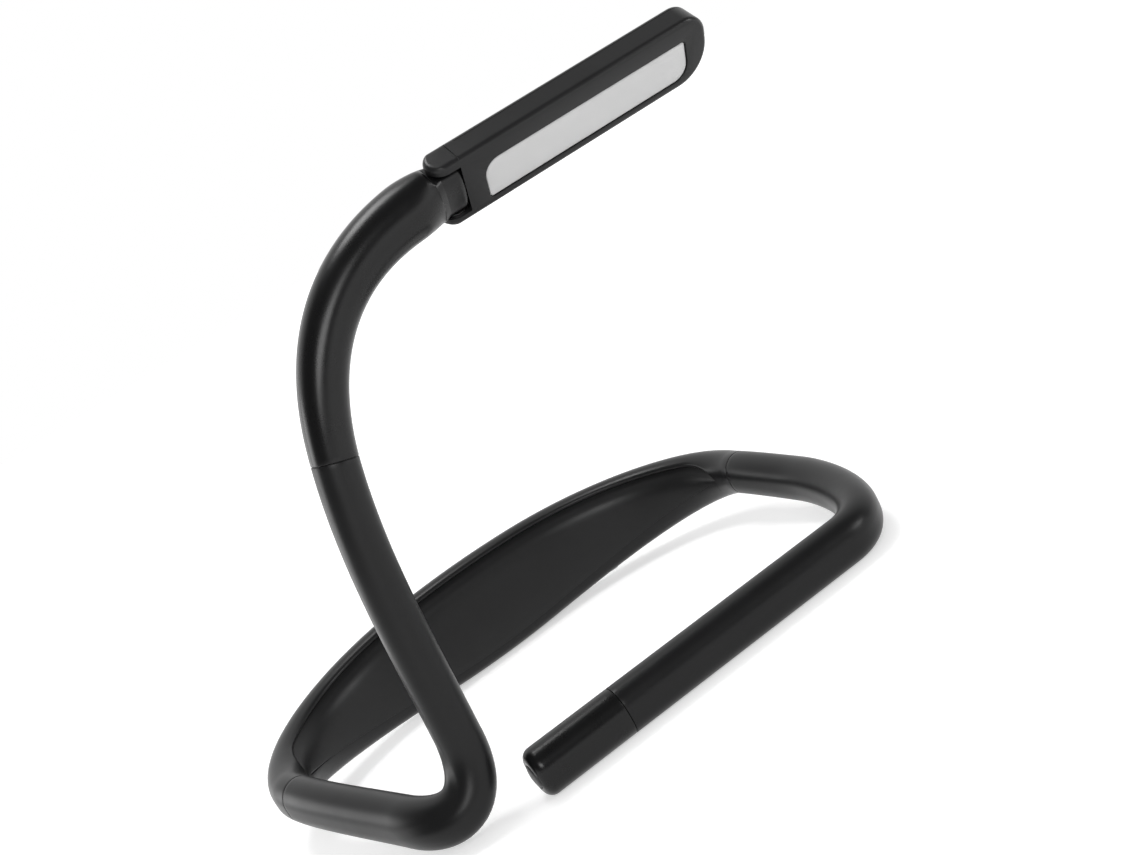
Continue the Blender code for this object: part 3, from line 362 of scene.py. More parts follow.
def plastic(name, colour, roughness, grain=0.0, grain_scale=GRAIN_SCALE, change=0.10, wear=0.0,
            specular=0.5, metallic=0.0):
    """Moulded plastic or rubber: slow colour and gloss changes, fine grain and rubbed edges."""
    made, tree, shader = new_material(name)
    cloud = spread(tree, add_noise(tree, CLOUD_SCALE, 4.0), *NOISE_SHARES)
    mix = tree.nodes.new("ShaderNodeMix")
    mix.data_type = "RGBA"
    mix.inputs["A"].default_value = (*(c * (1.0 - change) for c in colour), 1.0)
    mix.inputs["B"].default_value = (*(c * (1.0 + change) for c in colour), 1.0)
    tree.links.new(cloud.outputs["Result"], mix.inputs["Factor"])
    found = mix.outputs["Result"]
    if wear:
        found = rub_edges(tree, found, colour, wear)
    tree.links.new(found, shader.inputs["Base Color"])
    low, high = (roughness * share for share in GLOSS_SHARES)
    smudge = spread(tree, add_noise(tree, SMUDGE_SCALE, 5.0, 0.6), *NOISE_SHARES, low, high)
    tree.links.new(smudge.outputs["Result"], shader.inputs["Roughness"])
    if grain:
        bump = tree.nodes.new("ShaderNodeBump")
        bump.inputs["Strength"].default_value = grain
        bump.inputs["Distance"].default_value = GRAIN_DEPTH
        tree.links.new(add_noise(tree, grain_scale, 2.0, 0.5), bump.inputs["Height"])
        tree.links.new(bump.outputs["Normal"], shader.inputs["Normal"])
    shader.inputs["Specular IOR Level"].default_value = specular
    shader.inputs["Metallic"].default_value = metallic
    return made


def diffuser(name):
    """Frosted cover of the lamp: milky, light scattered inside, fine etched grain."""
    made = plastic(name, (0.57, 0.57, 0.57), 0.42, grain=0.12, grain_scale=5000.0, change=0.02)
    shader = made.node_tree.nodes["Principled BSDF"]
    shader.inputs["Subsurface Weight"].default_value = SCATTER_SHARE
    shader.inputs["Subsurface Radius"].default_value = (0.6, 0.6, 0.6)
    shader.inputs["Subsurface Scale"].default_value = SCATTER_DEPTH
    return made


BLACK = (0.007, 0.007, 0.0073)
finishes = {
    "shell": plastic("satin_shell", (0.008, 0.008, 0.0083), 0.32, grain=0.08, wear=0.08,
                     specular=0.24),
    "head": plastic("satin_head", (0.010, 0.010, 0.0103), 0.32, grain=0.08, wear=0.08,
                    specular=0.27),
    "pad": plastic("soft_pad", BLACK, 0.40, grain=0.12, grain_scale=2600.0, specular=0.30),
    "sleeve": plastic("silicone_sleeve", BLACK, 0.35, grain=0.25, grain_scale=2400.0, specular=0.23),
    "gloss": plastic("gloss_shell", (0.004, 0.004, 0.0042), 0.28, grain=0.05, wear=0.06,
                     specular=0.28),
    "button": plastic("button_rubber", (0.030, 0.030, 0.031), 0.42, grain=0.2),
    "lens": diffuser("frosted_lens"),
    "steel": plastic("brushed_steel", (0.52, 0.52, 0.53), 0.32, grain=0.1, metallic=1.0),
    "nylon": plastic("nylon_plug", (0.12, 0.12, 0.12), 0.55, grain=0.2),
    "board": plastic("board_lacquer", (0.02, 0.14, 0.06), 0.45, grain=0.1),
    "cell": plastic("cell_foil", (0.60, 0.61, 0.63), 0.34, grain=0.25, grain_scale=900.0,
                    metallic=0.8),
    "tape": plastic("foam_tape", (0.66, 0.66, 0.63), 0.85, grain=0.8, grain_scale=1500.0),
    "led": plastic("led_phosphor", (0.85, 0.72, 0.22), 0.4, grain=0.1),
}


# Mesh code

def smooth(mesh, angle=SHARP):
    mesh.shade_smooth()
    mesh.set_sharp_from_angle(angle=math.radians(angle))


def mesh_piece(name, bm, finish=None, angle=SHARP):
    bmesh.ops.remove_doubles(bm, verts=bm.verts, dist=MERGE)
    bmesh.ops.recalc_face_normals(bm, faces=bm.faces)
    mesh = bpy.data.meshes.new(name)
    bm.to_mesh(mesh)
    bm.free()
    smooth(mesh, angle)
    made = bpy.data.objects.new(name, mesh)
    bpy.context.scene.collection.objects.link(made)
    if finish is not None:
        mesh.materials.append(finishes[finish])
    return made


def join_rows(bm, one, other):
    """Faces between two rows of points, either of which may be a single point."""
    count = max(len(one), len(other))
    for j in range(count):
        k = (j + 1) % count
        if len(one) == 1:
            bm.faces.new((one[0], other[j], other[k]))
        elif len(other) == 1:
            bm.faces.new((one[j], one[k], other[0]))
        else:
            bm.faces.new((one[j], one[k], other[k], other[j]))


def skin(name, rings, place, finish=None, slot=None, ring_shaped=False, angle=SHARP):
    """One closed body through rings of equal point counts. place puts a point into the world."""
    bm = bmesh.new()
    rows = [[bm.verts.new(place(p)) for p in ring] for ring in rings]
    pairs = list(zip(rows, rows[1:]))
    if ring_shaped:
        pairs.append((rows[-1], rows[0]))
    else:
        bm.faces.new(rows[0])
        bm.faces.new(rows[-1])
    for one, other in pairs:
        join_rows(bm, one, other)
    return mesh_piece(name, bm, finish, angle)


def loft(name, rings, finish=None, slot=None, **options):
    """A body drawn in the source's frame."""
    return skin(name, rings, lambda p: tuple(np.asarray(p) + OFFSET), finish, slot, **options)


def settle(made):
    """Applies the piece's modifiers, so that its mesh is final."""
    bpy.context.view_layer.update()
    graph = bpy.context.evaluated_depsgraph_get()
    mesh = bpy.data.meshes.new_from_object(made.evaluated_get(graph))
    made.modifiers.clear()
    old = made.data
    made.data = mesh
    bpy.data.meshes.remove(old)
    smooth(mesh)


def cut(target, tools):
    """Cuts closed tools out of the target and throws the tools away."""
    for tool in tools:
        step = target.modifiers.new(tool.name, "BOOLEAN")
        step.operation = "DIFFERENCE"
        step.solver = "EXACT"
        step.object = tool
    settle(target)
    for tool in tools:
        bpy.data.objects.remove(tool)


# Outlines and routes

def oval(thick, tall, half=ROUND):
    radius = thick / 2
    reach = (tall - thick) / 2
    points = []
    for side in (1, -1):
        for angle in np.linspace(0.0, math.pi, half):
            points.append((side * radius * math.cos(angle), side * (reach + radius * math.sin(angle))))
    return np.array(points)


def tube_oval(inset=0.0):
    """The arms' own outline, or one that lies inside it."""
    return oval(TUBE_THICK - 2 * inset, TUBE_TALL - 2 * inset)


def circle(radius, sides=2 * ROUND):
    angles = np.linspace(0.0, 2 * math.pi, sides + 1)[:-1]
    return np.array([(radius * math.cos(a), radius * math.sin(a)) for a in angles])


def lip_steps():
    """For each ring of a rounded lip: how far it lies behind the end and inside the outline."""
    return [(LIP * (1 - math.cos(a)), LIP * (1 - math.sin(a))) for a in quarter(4)[:-1]]


def section(at, outline):
    """The outline's points, placed in a frame."""
    return [at["at"] + at["side"] * u + at["up"] * v for u, v in outline]


def moved(at, reach):
    return {**at, "at": at["at"] + at["along"] * reach}


def measured(points):
    """Distance along the points, from the first to each."""
    steps = np.linalg.norm(np.diff(points, axis=0), axis=1)
    return np.concatenate([[0.0], np.cumsum(steps)])


def route(waypoints, side, steps=TUBE_STEPS):
    """A smooth path through waypoints, each a place, a heading and its reach before and after."""
    points = [np.array(waypoints[0][0], float)]
    marks = [0]
    for one, other in zip(waypoints, waypoints[1:]):
        start, end = np.array(one[0], float), np.array(other[0], float)
        leave = start + unit(one[1]) * one[3]
        arrive = end - unit(other[1]) * other[2]
        for t in np.linspace(0.0, 1.0, steps + 1)[1:]:
            s = 1.0 - t
            points.append(s**3 * start + 3 * s * s * t * leave + 3 * s * t * t * arrive + t**3 * end)
        marks.append(len(points) - 1)
    points = np.array(points)
    tangents = np.gradient(points, axis=0)
    tangents[0] = unit(waypoints[0][1])
    tangents[-1] = unit(waypoints[-1][1])
    tangents = np.array([unit(t) for t in tangents])
    sides = []
    for tangent in tangents:
        side = unit(side - tangent * np.dot(side, tangent))
        sides.append(side)
    lengths = measured(points)
    return {
        "points": points, "tangents": tangents, "sides": np.array(sides), "lengths": lengths,
        "marks": [lengths[m] for m in marks],
    }


def frame_at(path, length):
    """The path's place, heading, side and up at a length along it."""
    def read(rows):
        return np.array([np.interp(length, path["lengths"], rows[:, i]) for i in range(3)])

    tangent = unit(read(path["tangents"]))
    side = read(path["sides"])
    side = unit(side - tangent * np.dot(side, tangent))
    return {"at": read(path["points"]), "along": tangent, "side": side, "up": np.cross(side, tangent)}


def roll_over(path, first, last, wanted):
    """Turns the path's sides, from one mark to another, towards a wanted direction."""
    start, end = path["marks"][first], path["marks"][last]
    found = frame_at(path, end)
    angle = math.atan2(np.dot(wanted, found["up"]), np.dot(wanted, found["side"]))
    turned = []
    for side, tangent, length in zip(path["sides"], path["tangents"], path["lengths"]):
        part = min(max((length - start) / (end - start), 0.0), 1.0) * angle
        turned.append(side * math.cos(part) + np.cross(side, tangent) * math.sin(part))
    return {**path, "sides": np.array(turned)}


def near_route():
    seam = (-BAND_HALF, 0.0, BAND_HEIGHT / 2)
    bend = (-BAND_HALF + NEAR_BEND_IN, -NEAR_BEND_FORWARD, NEAR_BEND_HEIGHT)
    foot = (-BAND_HALF + LAMP_FOOT_IN, -LAMP_FORWARD, LAMP_FOOT_HEIGHT)
    top = (-BAND_HALF + ELBOW_IN, -LAMP_FORWARD, ELBOW_HEIGHT)
    outward = np.array((-1.0, 0.0, 0.0))
    path = route([
        (seam, (0.0, -1.0, 0.0), 0.0, NEAR_SEAM_REACH),
        (bend, NEAR_BEND_AIM, NEAR_BEND_ARRIVE, NEAR_BEND_REACH),
        (foot, LAMP_FOOT_AIM, LAMP_FOOT_REACH, LAMP_ARM_REACH),
        (top, ELBOW_AIM, LAMP_ARM_REACH, 0.0),
    ], outward)
    return roll_over(path, 1, 2, outward)


def far_route():
    seam = (BAND_HALF, 0.0, BAND_HEIGHT / 2)
    bend = (BAND_HALF + FAR_BEND_OUT, -FAR_BEND_FORWARD, FAR_BEND_HEIGHT)
    front = (BAND_HALF - FREE_ARM_START, -RING_FORWARD, TUBE_TALL / 2)
    end_x = -BAND_HALF + LAMP_FOOT_IN + CAP_FROM_FOOT + CAP_LENGTH
    end = (end_x, -RING_FORWARD, TUBE_TALL / 2)
    straight = BAND_HALF - FREE_ARM_START - end_x
    return route([
        (seam, (0.0, -1.0, 0.0), 0.0, FAR_SEAM_REACH),
        (bend, FAR_BEND_AIM, FAR_BEND_ARRIVE, FAR_BEND_REACH),
        (front, (-1.0, 0.0, 0.0), FAR_BEND_REACH, straight / 3),
        (end, (-1.0, 0.0, 0.0), straight / 3, 0.0),
    ], np.array((1.0, 0.0, 0.0)))


def band_path():
    wing = BAND_HALF - BAND_FLAT_HALF
    right = []
    for angle in quarter(BAND_POINTS):
        right.append((
            BAND_FLAT_HALF + wing * math.cos(angle) ** (2 / BAND_CURVE),
            BAND_SAG * math.sin(angle) ** (2 / BAND_CURVE),
            BAND_HEIGHT / 2,
        ))
    points = np.array([(-x, y, z) for x, y, z in right] + right[::-1])
    tangents = np.gradient(points, axis=0)
    tangents[0] = (0.0, 1.0, 0.0)
    tangents[-1] = (0.0, -1.0, 0.0)
    tangents = np.array([unit(t) for t in tangents])
    sides = np.array([np.cross(t, (0.0, 0.0, -1.0)) for t in tangents])
    return {"points": points, "tangents": tangents, "sides": sides, "lengths": measured(points)}


def band_sizes(path, length):
    """The band's thickness and height at a length along it."""
    total = path["lengths"][-1]
    swell = math.sin(math.pi * min(max(length / total, 0.0), 1.0)) ** BAND_SWELL
    return TUBE_THICK + (BAND_THICK - TUBE_THICK) * swell, TUBE_TALL + (BAND_HEIGHT - TUBE_TALL) * swell


def band_frame(path, length):
    return {**frame_at(path, length), "up": np.array((0.0, 0.0, 1.0))}


def face_depth(thick, tall, height):
    """Distance of an oval's surface from its middle plane, at a height."""
    radius = thick / 2
    beyond = max(abs(height) - (tall - thick) / 2, 0.0)
    return math.sqrt(max(radius**2 - beyond**2, 0.0))


# The band's shell, its charging socket and its neck pad

NO_BED = dict.fromkeys(("top", "bottom", "rim", "crease", "valley", "size"), 0.0)


def bed_at(path, length):
    """The pad's bed at a length along the band: its top, its bottom, its edges and its valley."""
    total = path["lengths"][-1]
    from_near, from_far = length - PAD_START, total - PAD_START - length
    from_tip = min(from_near, from_far)
    if from_tip <= 0.0:
        return NO_BED
    tall = band_sizes(path, length)[1]
    swell = (tall - TUBE_TALL) / (BAND_HEIGHT - TUBE_TALL)
    near = min(from_tip / PAD_TIP, 1.0)
    tip = math.sqrt(1.0 - (1.0 - near) ** 2)
    top = (tall / 2 - RIM_MARGIN) * tip
    bottom = (BAND_HEIGHT / 2 - PAD_MARGIN) * swell * tip
    fade = max(1.0 - from_near / CREASE_NEAR, 1.0 - from_far / CREASE_FAR, 0.0)
    return {
        "top": top, "bottom": bottom, "rim": min(RIM_ROUND, top * RIM_SHARE),
        "crease": min(CREASE, bottom * CREASE_SHARE) * fade + CREASE_LEAST * min(near * CREASE_RISE, 1.0),
        "valley": min(VALLEY_DEPTH, top * VALLEY_DEPTH_SHARE), "size": min(top / PAD_TIP_HALF, 1.0),
    }


def recess_at(bed, height):
    """Depth of the neck side below the shell's own oval: flush at the bottom, a valley at the top."""
    part = min(max((height + bed["bottom"]) / (bed["top"] + bed["bottom"]), 0.0), 1.0)
    sink = min(FACE_SINK, bed["valley"] * FACE_SINK_SHARE)
    from_top = (bed["top"] - height) / min(VALLEY_REACH, bed["top"] * VALLEY_REACH_SHARE)
    valley = (bed["valley"] - sink) * math.exp(-from_top**2)
    return sink * part * part * (3 - 2 * part) + valley


def band_outline(path, length):
    """Outside of the shell with the pad's bed in it."""
    thick, tall = band_sizes(path, length)
    radius, flat = thick / 2, (tall - thick) / 2
    bed = bed_at(path, length)
    points = []

    def lift(reach):
        # Angle round the end's half circle at which the bed's edge lies
        return math.asin(min(max(reach - flat, 0.0) / radius, 1.0))

    def surface(height, sink):
        points.append((-face_depth(thick, tall, height) + sink, height))

    high, low = bed["top"] + bed["rim"], bed["bottom"] + bed["crease"]
    for angle in np.linspace(math.pi - lift(high), 0.0, ROUND):
        points.append((radius * math.cos(angle), flat + radius * math.sin(angle)))
    for angle in np.linspace(0.0, -(math.pi - lift(low)), ROUND):
        points.append((radius * math.cos(angle), -flat + radius * math.sin(angle)))
    for share in RIM_POINT_SHARES[::-1]:
        surface(-low - max(flat - low, 0.0) * share, 0.0)
    for angle in quarter(5):
        surface(-low + bed["crease"] * math.sin(angle), bed["crease"] * (1 - math.cos(angle)))
    for height in np.linspace(-bed["bottom"], bed["top"], BED_POINTS):
        surface(height, recess_at(bed, height) + PAD_SKIN * bed["size"] if bed["size"] else 0.0)
    for angle in quarter(9)[::-1]:
        surface(high - bed["rim"] * math.sin(angle), bed["valley"] * (1 - math.cos(angle)))
    for share in RIM_POINT_SHARES:
        surface(high + max(flat - high, 0.0) * share, 0.0)
    return np.array(points)


def band_hollow(path, length, outline):
    """The cavity, point for point under the outline: even wall, but a thicker one behind the pad."""
    thick, tall = band_sizes(path, length)
    flat = (tall - thick) / 2
    bed = bed_at(path, length)
    radius = thick / 2 - BAND_WALL
    points = []
    for u, v in outline:
        middle = min(max(v, -flat), flat)
        away = math.hypot(u, v - middle)
        across, up = u / away * radius, middle + (v - middle) / away * radius
        if bed["size"]:
            height = min(max(up, -bed["bottom"]), bed["top"])
            floor = recess_at(bed, height) + (PAD_SKIN + PAD_FLOOR) * bed["size"]
            across = max(across, floor - face_depth(thick, tall, height))
        points.append((across, up))
    return points


def band_lengths(path):
    """Lengths at which the band is drawn, the same from both of its ends."""
    total = path["lengths"][-1]
    middle = total / 2
    marks = [PAD_START + distance for distance in SHELL_STATIONS]
    low, high = marks[0] - SHELL_CLEAR_BEFORE, marks[-1] + SHELL_CLEAR_AFTER
    wing = [x for x in np.linspace(0.0, middle - BAND_FLAT_HALF, WING_STATIONS) if not low < x < high]
    lengths = sorted(wing + marks)
    lengths += list(np.linspace(middle - BAND_FLAT_HALF, middle, FLAT_STATIONS)[1:])
    mirrored = [total - x for x in lengths[::-1]]
    return lengths + mirrored[1:]


def shell_stations(path, near, far):
    """The shell's stations from the near arm's seam over the band to the far arm's."""
    total = path["lengths"][-1]
    stations = []
    for length in np.linspace(NEAR_SHELL - LINE / 2, 0.0, 9)[:-1]:
        stations.append((frame_at(near, length), 0.0))
    stations += [(band_frame(path, length), length) for length in band_lengths(path)]
    for length in np.linspace(0.0, FAR_SHELL - LINE / 2, 7)[1:]:
        found = frame_at(far, length)
        stations.append(({**found, "up": -found["up"]}, total))
    return stations


def make_shell(path, near, far):
    stations = shell_stations(path, near, far)
    lips = []
    for at, length in (stations[0], stations[-1]):
        outline = band_outline(path, length)
        lips.append([
            section(moved(at, -back), outline * (1.0 - inset / (TUBE_THICK / 2)))
            for back, inset in lip_steps()
        ])
    starts, ends = ((moved(at, -LIP), length) for at, length in (stations[0], stations[-1]))
    rings = list(lips[0])
    for at, length in (starts, *stations[1:-1], ends):
        rings.append(section(at, band_outline(path, length)))
    rings += lips[1][::-1]
    for at, length in stations[::-1]:
        rings.append(section(at, band_hollow(path, length, band_outline(path, length))))
    return loft("band_body", rings, "shell", "shell", ring_shaped=True)


def socket_seat(path):
    """The socket's own frame, whose along points up into the band from its lower edge."""
    length = path["lengths"][-1] / 2 + BOARD_FROM_MIDDLE
    board = band_frame(path, length)
    tall = band_sizes(path, length)[1]
    return {"at": board["at"] - np.array((0, 0, tall / 2)), "along": np.array((0.0, 0.0, 1.0)),
            "side": board["along"], "up": board["side"]}


def stadium(wide, deep, flare=0.0):
    return [(v, u) for u, v in oval(deep + 2 * flare, wide + 2 * flare, SOCKET_ROUND)]


def cut_socket_hole(shell, seat):
    rings = []
    for reach, flare in SOCKET_MOUTH:
        outline = stadium(SOCKET_WIDTH + 2 * SEAM_GAP, SOCKET_DEPTH + 2 * SEAM_GAP, flare)
        rings.append(section(moved(seat, reach), outline))
    cut(shell, [loft("socket_hole", rings)])


def make_socket(seat):
    deep = SOCKET_LENGTH - SOCKET_FLOOR
    chamfer = SOCKET_EDGE / 2
    rings = []
    for reach, inset in (
        (SOCKET_LENGTH, 0.0), (SEAM_GAP + SOCKET_EDGE, 0.0), (SEAM_GAP, chamfer),
        (SEAM_GAP, SOCKET_WALL - chamfer), (SEAM_GAP + SOCKET_EDGE, SOCKET_WALL), (deep, SOCKET_WALL),
    ):
        rings.append(section(moved(seat, reach), stadium(SOCKET_WIDTH, SOCKET_DEPTH, -inset)))
    socket = loft("socket_shell", rings, "steel", "steel")
    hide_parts("charging_socket")
    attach(socket, "band")
    rings = []
    for reach, inset in (
        (deep + SOCKET_TONGUE_ROOT, 0.0), (SOCKET_TONGUE_START + SOCKET_EDGE, 0.0),
        (SOCKET_TONGUE_START, SOCKET_TONGUE_TAPER),
    ):
        outline = stadium(SOCKET_WIDTH * SOCKET_TONGUE_SHARE, SOCKET_TONGUE_THICK, -inset)
        rings.append(section(moved(seat, reach), outline))
    tongue = loft("socket_tongue", rings, "nylon", "nylon")
    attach(tongue, "band")


def make_pad(path):
    total = path["lengths"][-1]
    tips = [PAD_START + distance for distance in PAD_STATIONS]
    half = tips + [x for x in band_lengths(path) if tips[-1] + PAD_CLEAR < x < total / 2]
    rings = []
    for length in (*half, total / 2, *(total - x for x in half[::-1])):
        thick, tall = band_sizes(path, length)
        bed = bed_at(path, length)
        top, bottom = (bed[name] - PAD_LINE * bed["size"] for name in ("top", "bottom"))
        edge = bed["crease"]
        valley = top - VALLEY_REACH * VALLEY_SPAN_SHARE * bed["size"]
        outline = []
        for angle in quarter(6)[:-1]:
            outline.append((edge * (1 - math.sin(angle)), -bottom + edge * (1 - math.cos(angle))))
        outline += [(0.0, height) for height in np.linspace(-bottom + edge, valley, BED_POINTS)[:-1]]
        outline += [(0.0, height) for height in np.linspace(valley, top, PAD_VALLEY_POINTS)]
        back = PAD_SKIN * PAD_BACK_SHARE
        outline += [(back, height) for height in np.linspace(top, -bottom, PAD_BACK_POINTS)]
        placed = [(-face_depth(thick, tall, v) + recess_at(bed, v) + sink, v) for sink, v in outline]
        rings.append(section(band_frame(path, length), placed))
    pad = loft("pad_panel", rings, "pad", "pad")
    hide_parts("neck_pad")
    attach(pad, "band")


def make_band(near, far):
    path = band_path()
    seat = socket_seat(path)
    shell = make_shell(path, near, far)
    cut_socket_hole(shell, seat)
    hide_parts("band_shell")
    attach(shell, "band")
    make_socket(seat)
    make_pad(path)
    return path


# Arms

def tube_piece(name, path, start, end):
    """A whole arm's sleeve in one skin, with rounded lips at its two seams."""
    first, last = start + LINE / 2, end - LINE / 2
    lengths = np.linspace(first + LIP, last - LIP, int((last - first) / SKIN_STEP))
    rings = [section(frame_at(path, first + back), tube_oval(inset)) for back, inset in lip_steps()]
    rings += [section(frame_at(path, length), tube_oval()) for length in lengths]
    rings += [section(frame_at(path, last - back), tube_oval(inset)) for back, inset in lip_steps()[::-1]]
    # The seam is a groove: below it the end meets its neighbour, so that no light comes through
    step, bore = tube_oval(GROOVE), tube_oval(SLEEVE_WALL)
    head, tail = frame_at(path, first), frame_at(path, last)
    rings += [section(tail, step), section(moved(tail, LINE), step), section(moved(tail, LINE), bore)]
    rings += [section(frame_at(path, length), bore) for length in lengths[::-1]]
    rings += [section(moved(head, -LINE), bore), section(moved(head, -LINE), step), section(head, step)]
    return loft(name, rings, "sleeve", "sleeve", ring_shaped=True)


def core_piece(name, path, start, end, ahead, after):
    """The bendable bar inside an arm, with its ends in the clamps ahead of it and after it."""
    bar = circle(CORE_DIAMETER / 2, CORE_ROUND)
    inside = (frame_at(path, x) for x in np.linspace(start, end, CORE_STATIONS))
    return loft(name, [section(at, bar) for at in (*ahead, *inside, *after)], "steel", "core")


def place_at(path, length):
    return tuple(frame_at(path, length)["at"] + OFFSET)


def make_arms(band, near, far):
    total = band["lengths"][-1]
    for label, path, body, seam, inward, first in (
        ("near", near, "lamp_arm", 0.0, 1, NEAR_SHELL), ("far", far, "free_arm", total, -1, FAR_SHELL),
    ):
        marks = path["marks"]
        sleeve = tube_piece(f"{label}_sleeve", path, first, marks[3])
        ahead = []
        for reach in np.linspace(CLAMP_LENGTH, CLAMP_LENGTH / 10, 6):
            found = band_frame(band, seam + inward * reach)
            found["up"] = np.cross(found["side"], -inward * found["along"])
            ahead.append(found)
        after = [moved(frame_at(path, marks[3]), CLAMP_LENGTH * share) for share in (0.5, 1.0)]
        core = core_piece(f"{label}_core", path, marks[0], marks[3], ahead, after)
        for piece, kind in ((sleeve, "sleeve"), (core, "core")):
            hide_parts(f"{label}_root_{kind}", f"{label}_bend_{kind}", f"{body}_{kind}")
            place_at(path, marks[1])
            place_at(path, marks[2])
            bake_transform(piece)


# The elbow

def oval_reach(thick, tall, angle):
    """Distance of an oval's outline from its middle, in the direction of an angle."""
    radius = thick / 2
    straight = (tall - thick) / 2
    across = abs(math.cos(angle))
    up = abs(math.sin(angle))
    if radius * up <= straight * across:
        return radius / across
    return straight * up + math.sqrt(max(radius**2 - (straight * across) ** 2, 0.0))


def squared_reach(wide, thick, angle):
    """The same for a rectangle with rounded corners."""
    across = abs(math.cos(angle)) / (wide / 2)
    up = abs(math.sin(angle)) / (thick / 2)
    return (across**TONGUE_SQUARENESS + up**TONGUE_SQUARENESS) ** (-1.0 / TONGUE_SQUARENESS)


def elbow_section(at, widened, squared, tongue_thick=ELBOW_END_WIDTH, shrink=0.0):
    """Round at 0 and squared at 1, and flattened across the pin to the tongue's thickness."""
    thick = TUBE_THICK + (ELBOW_END_WIDTH - TUBE_THICK) * widened
    tall = TUBE_TALL + (ELBOW_END_WIDTH - TUBE_TALL) * widened
    flat = tongue_thick / ELBOW_END_WIDTH
    axis = np.array((0.0, math.cos(HEAD_ROLL), math.sin(HEAD_ROLL)))
    turn = math.atan2(np.dot(axis, at["up"]), np.dot(axis, at["side"]))
    points = []
    for angle in np.linspace(0.0, 2 * math.pi, 2 * ROUND + 1)[:-1]:
        off = angle - turn
        round_reach = oval_reach(thick, tall, angle) - shrink
        across, high = round_reach * math.cos(off), round_reach * math.sin(off) * flat
        if squared:
            # The squared reach stays softly inside the round one
            reach = squared_reach(TONGUE_WIDTH, tongue_thick, off)
            over = math.hypot(reach * math.cos(off), reach * math.sin(off) / flat)
            over /= round_reach * SHOULDER_LIMIT_SHARE
            reach *= (1.0 + over**SHOULDER_SOFTNESS) ** (-1.0 / SHOULDER_SOFTNESS)
            across += (reach * math.cos(off) - across) * squared
            high += (reach * math.sin(off) - high) * squared
        points.append((across * math.cos(turn) - high * math.sin(turn),
                       across * math.sin(turn) + high * math.cos(turn)))
    return section(at, points)


def elbow_thick(behind):
    """Thickness across the pin at a distance behind it: the tongue's, then softly up to the arm's."""
    rise = min(max((behind - SHOULDER_ROOT) / (SHOULDER_TAPER - SHOULDER_ROOT), 0.0), 1.0)
    return TONGUE_THICK + (ELBOW_END_WIDTH - TONGUE_THICK) * math.sin(rise * math.pi / 2)


def make_elbow(near):
    start = (-BAND_HALF + ELBOW_IN, -LAMP_FORWARD, ELBOW_HEIGHT)
    shoulder = (-BAND_HALF + HINGE_IN - SHOULDER_START, -LAMP_FORWARD, HINGE_HEIGHT)
    knuckle = (-BAND_HALF + HINGE_IN, -LAMP_FORWARD, HINGE_HEIGHT)
    path = route([
        (start, ELBOW_AIM, 0.0, ELBOW_LEAVE),
        (shoulder, (1.0, 0.0, 0.0), ELBOW_ARRIVE - SHOULDER_START, SHOULDER_START / 3),
        (knuckle, (1.0, 0.0, 0.0), SHOULDER_START / 3, 0.0),
    ], frame_at(near, near["marks"][-1])["side"])
    swell_end, total = path["marks"][1:3]
    first = LINE / 2
    rings = []
    for back, inset in lip_steps():
        rings.append(elbow_section(frame_at(path, first + back), 0.0, 0.0, shrink=inset))
    for length in np.linspace(first + LIP, swell_end, ELBOW_STATIONS):
        widened = (length / swell_end) ** ELBOW_SWELL
        rings.append(elbow_section(frame_at(path, length), widened, 0.0, elbow_thick(total - length)))
    end = frame_at(path, total)
    for angle in quarter(14)[1:]:
        behind = SHOULDER_START - (SHOULDER_START - SHOULDER_END) * math.sin(angle)
        rings.append(elbow_section(moved(end, -behind), 1.0, 1 - math.cos(angle), elbow_thick(behind)))
    for behind in np.linspace(SHOULDER_END, SHOULDER_ROOT, 8)[1:]:
        rings.append(elbow_section(moved(end, -behind), 1.0, 1.0, elbow_thick(behind)))
    for angle in quarter(10):
        reach = TONGUE_REACH - TONGUE_CORNER * (1 - math.sin(angle))
        thick = TONGUE_THICK - 2 * TONGUE_CORNER * (1 - math.cos(angle))
        rings.append(elbow_section(moved(end, reach), 1.0, 1.0, thick))
    elbow = loft("elbow_arm", rings, "gloss", "gloss", angle=ELBOW_SHARP)
    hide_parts("elbow")
    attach(elbow, "lamp_arm")


# The lamp head, in its own frame: X along it from the hinge, Z from its face to its back

HINGE = Vector(np.array((-BAND_HALF + HINGE_IN, -LAMP_FORWARD, HINGE_HEIGHT)) + OFFSET)
HEAD_FRAME = Matrix.Translation(HINGE) @ Matrix.Rotation(HEAD_ROLL, 4, "X")
FACE = -HEAD_THICK / 2
PARTING = HEAD_THICK / 2 - COVER_THICK
SLOT_HALF = HEAD_WIDTH / 2 - EAR_INSET - EAR_WIDTH


def head_loft(name, rings, finish=None, slot=None, **options):
    """A body drawn in the head's frame."""
    return skin(name, rings, lambda p: HEAD_FRAME @ Vector(p), finish, slot, **options)


def head_block(name, low, high):
    """A box in the head's frame."""
    plan = ((low[0], low[1]), (high[0], low[1]), (high[0], high[1]), (low[0], high[1]))
    return head_loft(name, [[(x, y, z) for x, y in plan] for z in (low[2], high[2])])


def plate(start, end, half_width, radii, offset=0.0, height=0.0, shift=0.0):
    """Points round a plate along X, one radius for each corner. Its -Y side is the upper one."""
    points = []
    corners = ((end, half_width), (start, half_width), (start, -half_width), (end, -half_width))
    for number, ((x, y), radius) in enumerate(zip(corners, radii)):
        inward = -1 if x == end else 1
        down = -1 if y > 0 else 1
        left = max(radius - offset, LEAST_RADIUS)
        first = number * 0.5 * math.pi
        for angle in np.linspace(first, first + 0.5 * math.pi, CORNER_POINTS):
            points.append((
                x + inward * (offset + left) + left * math.cos(angle),
                shift + y + down * (offset + left) + left * math.sin(angle),
                height,
            ))
    return points


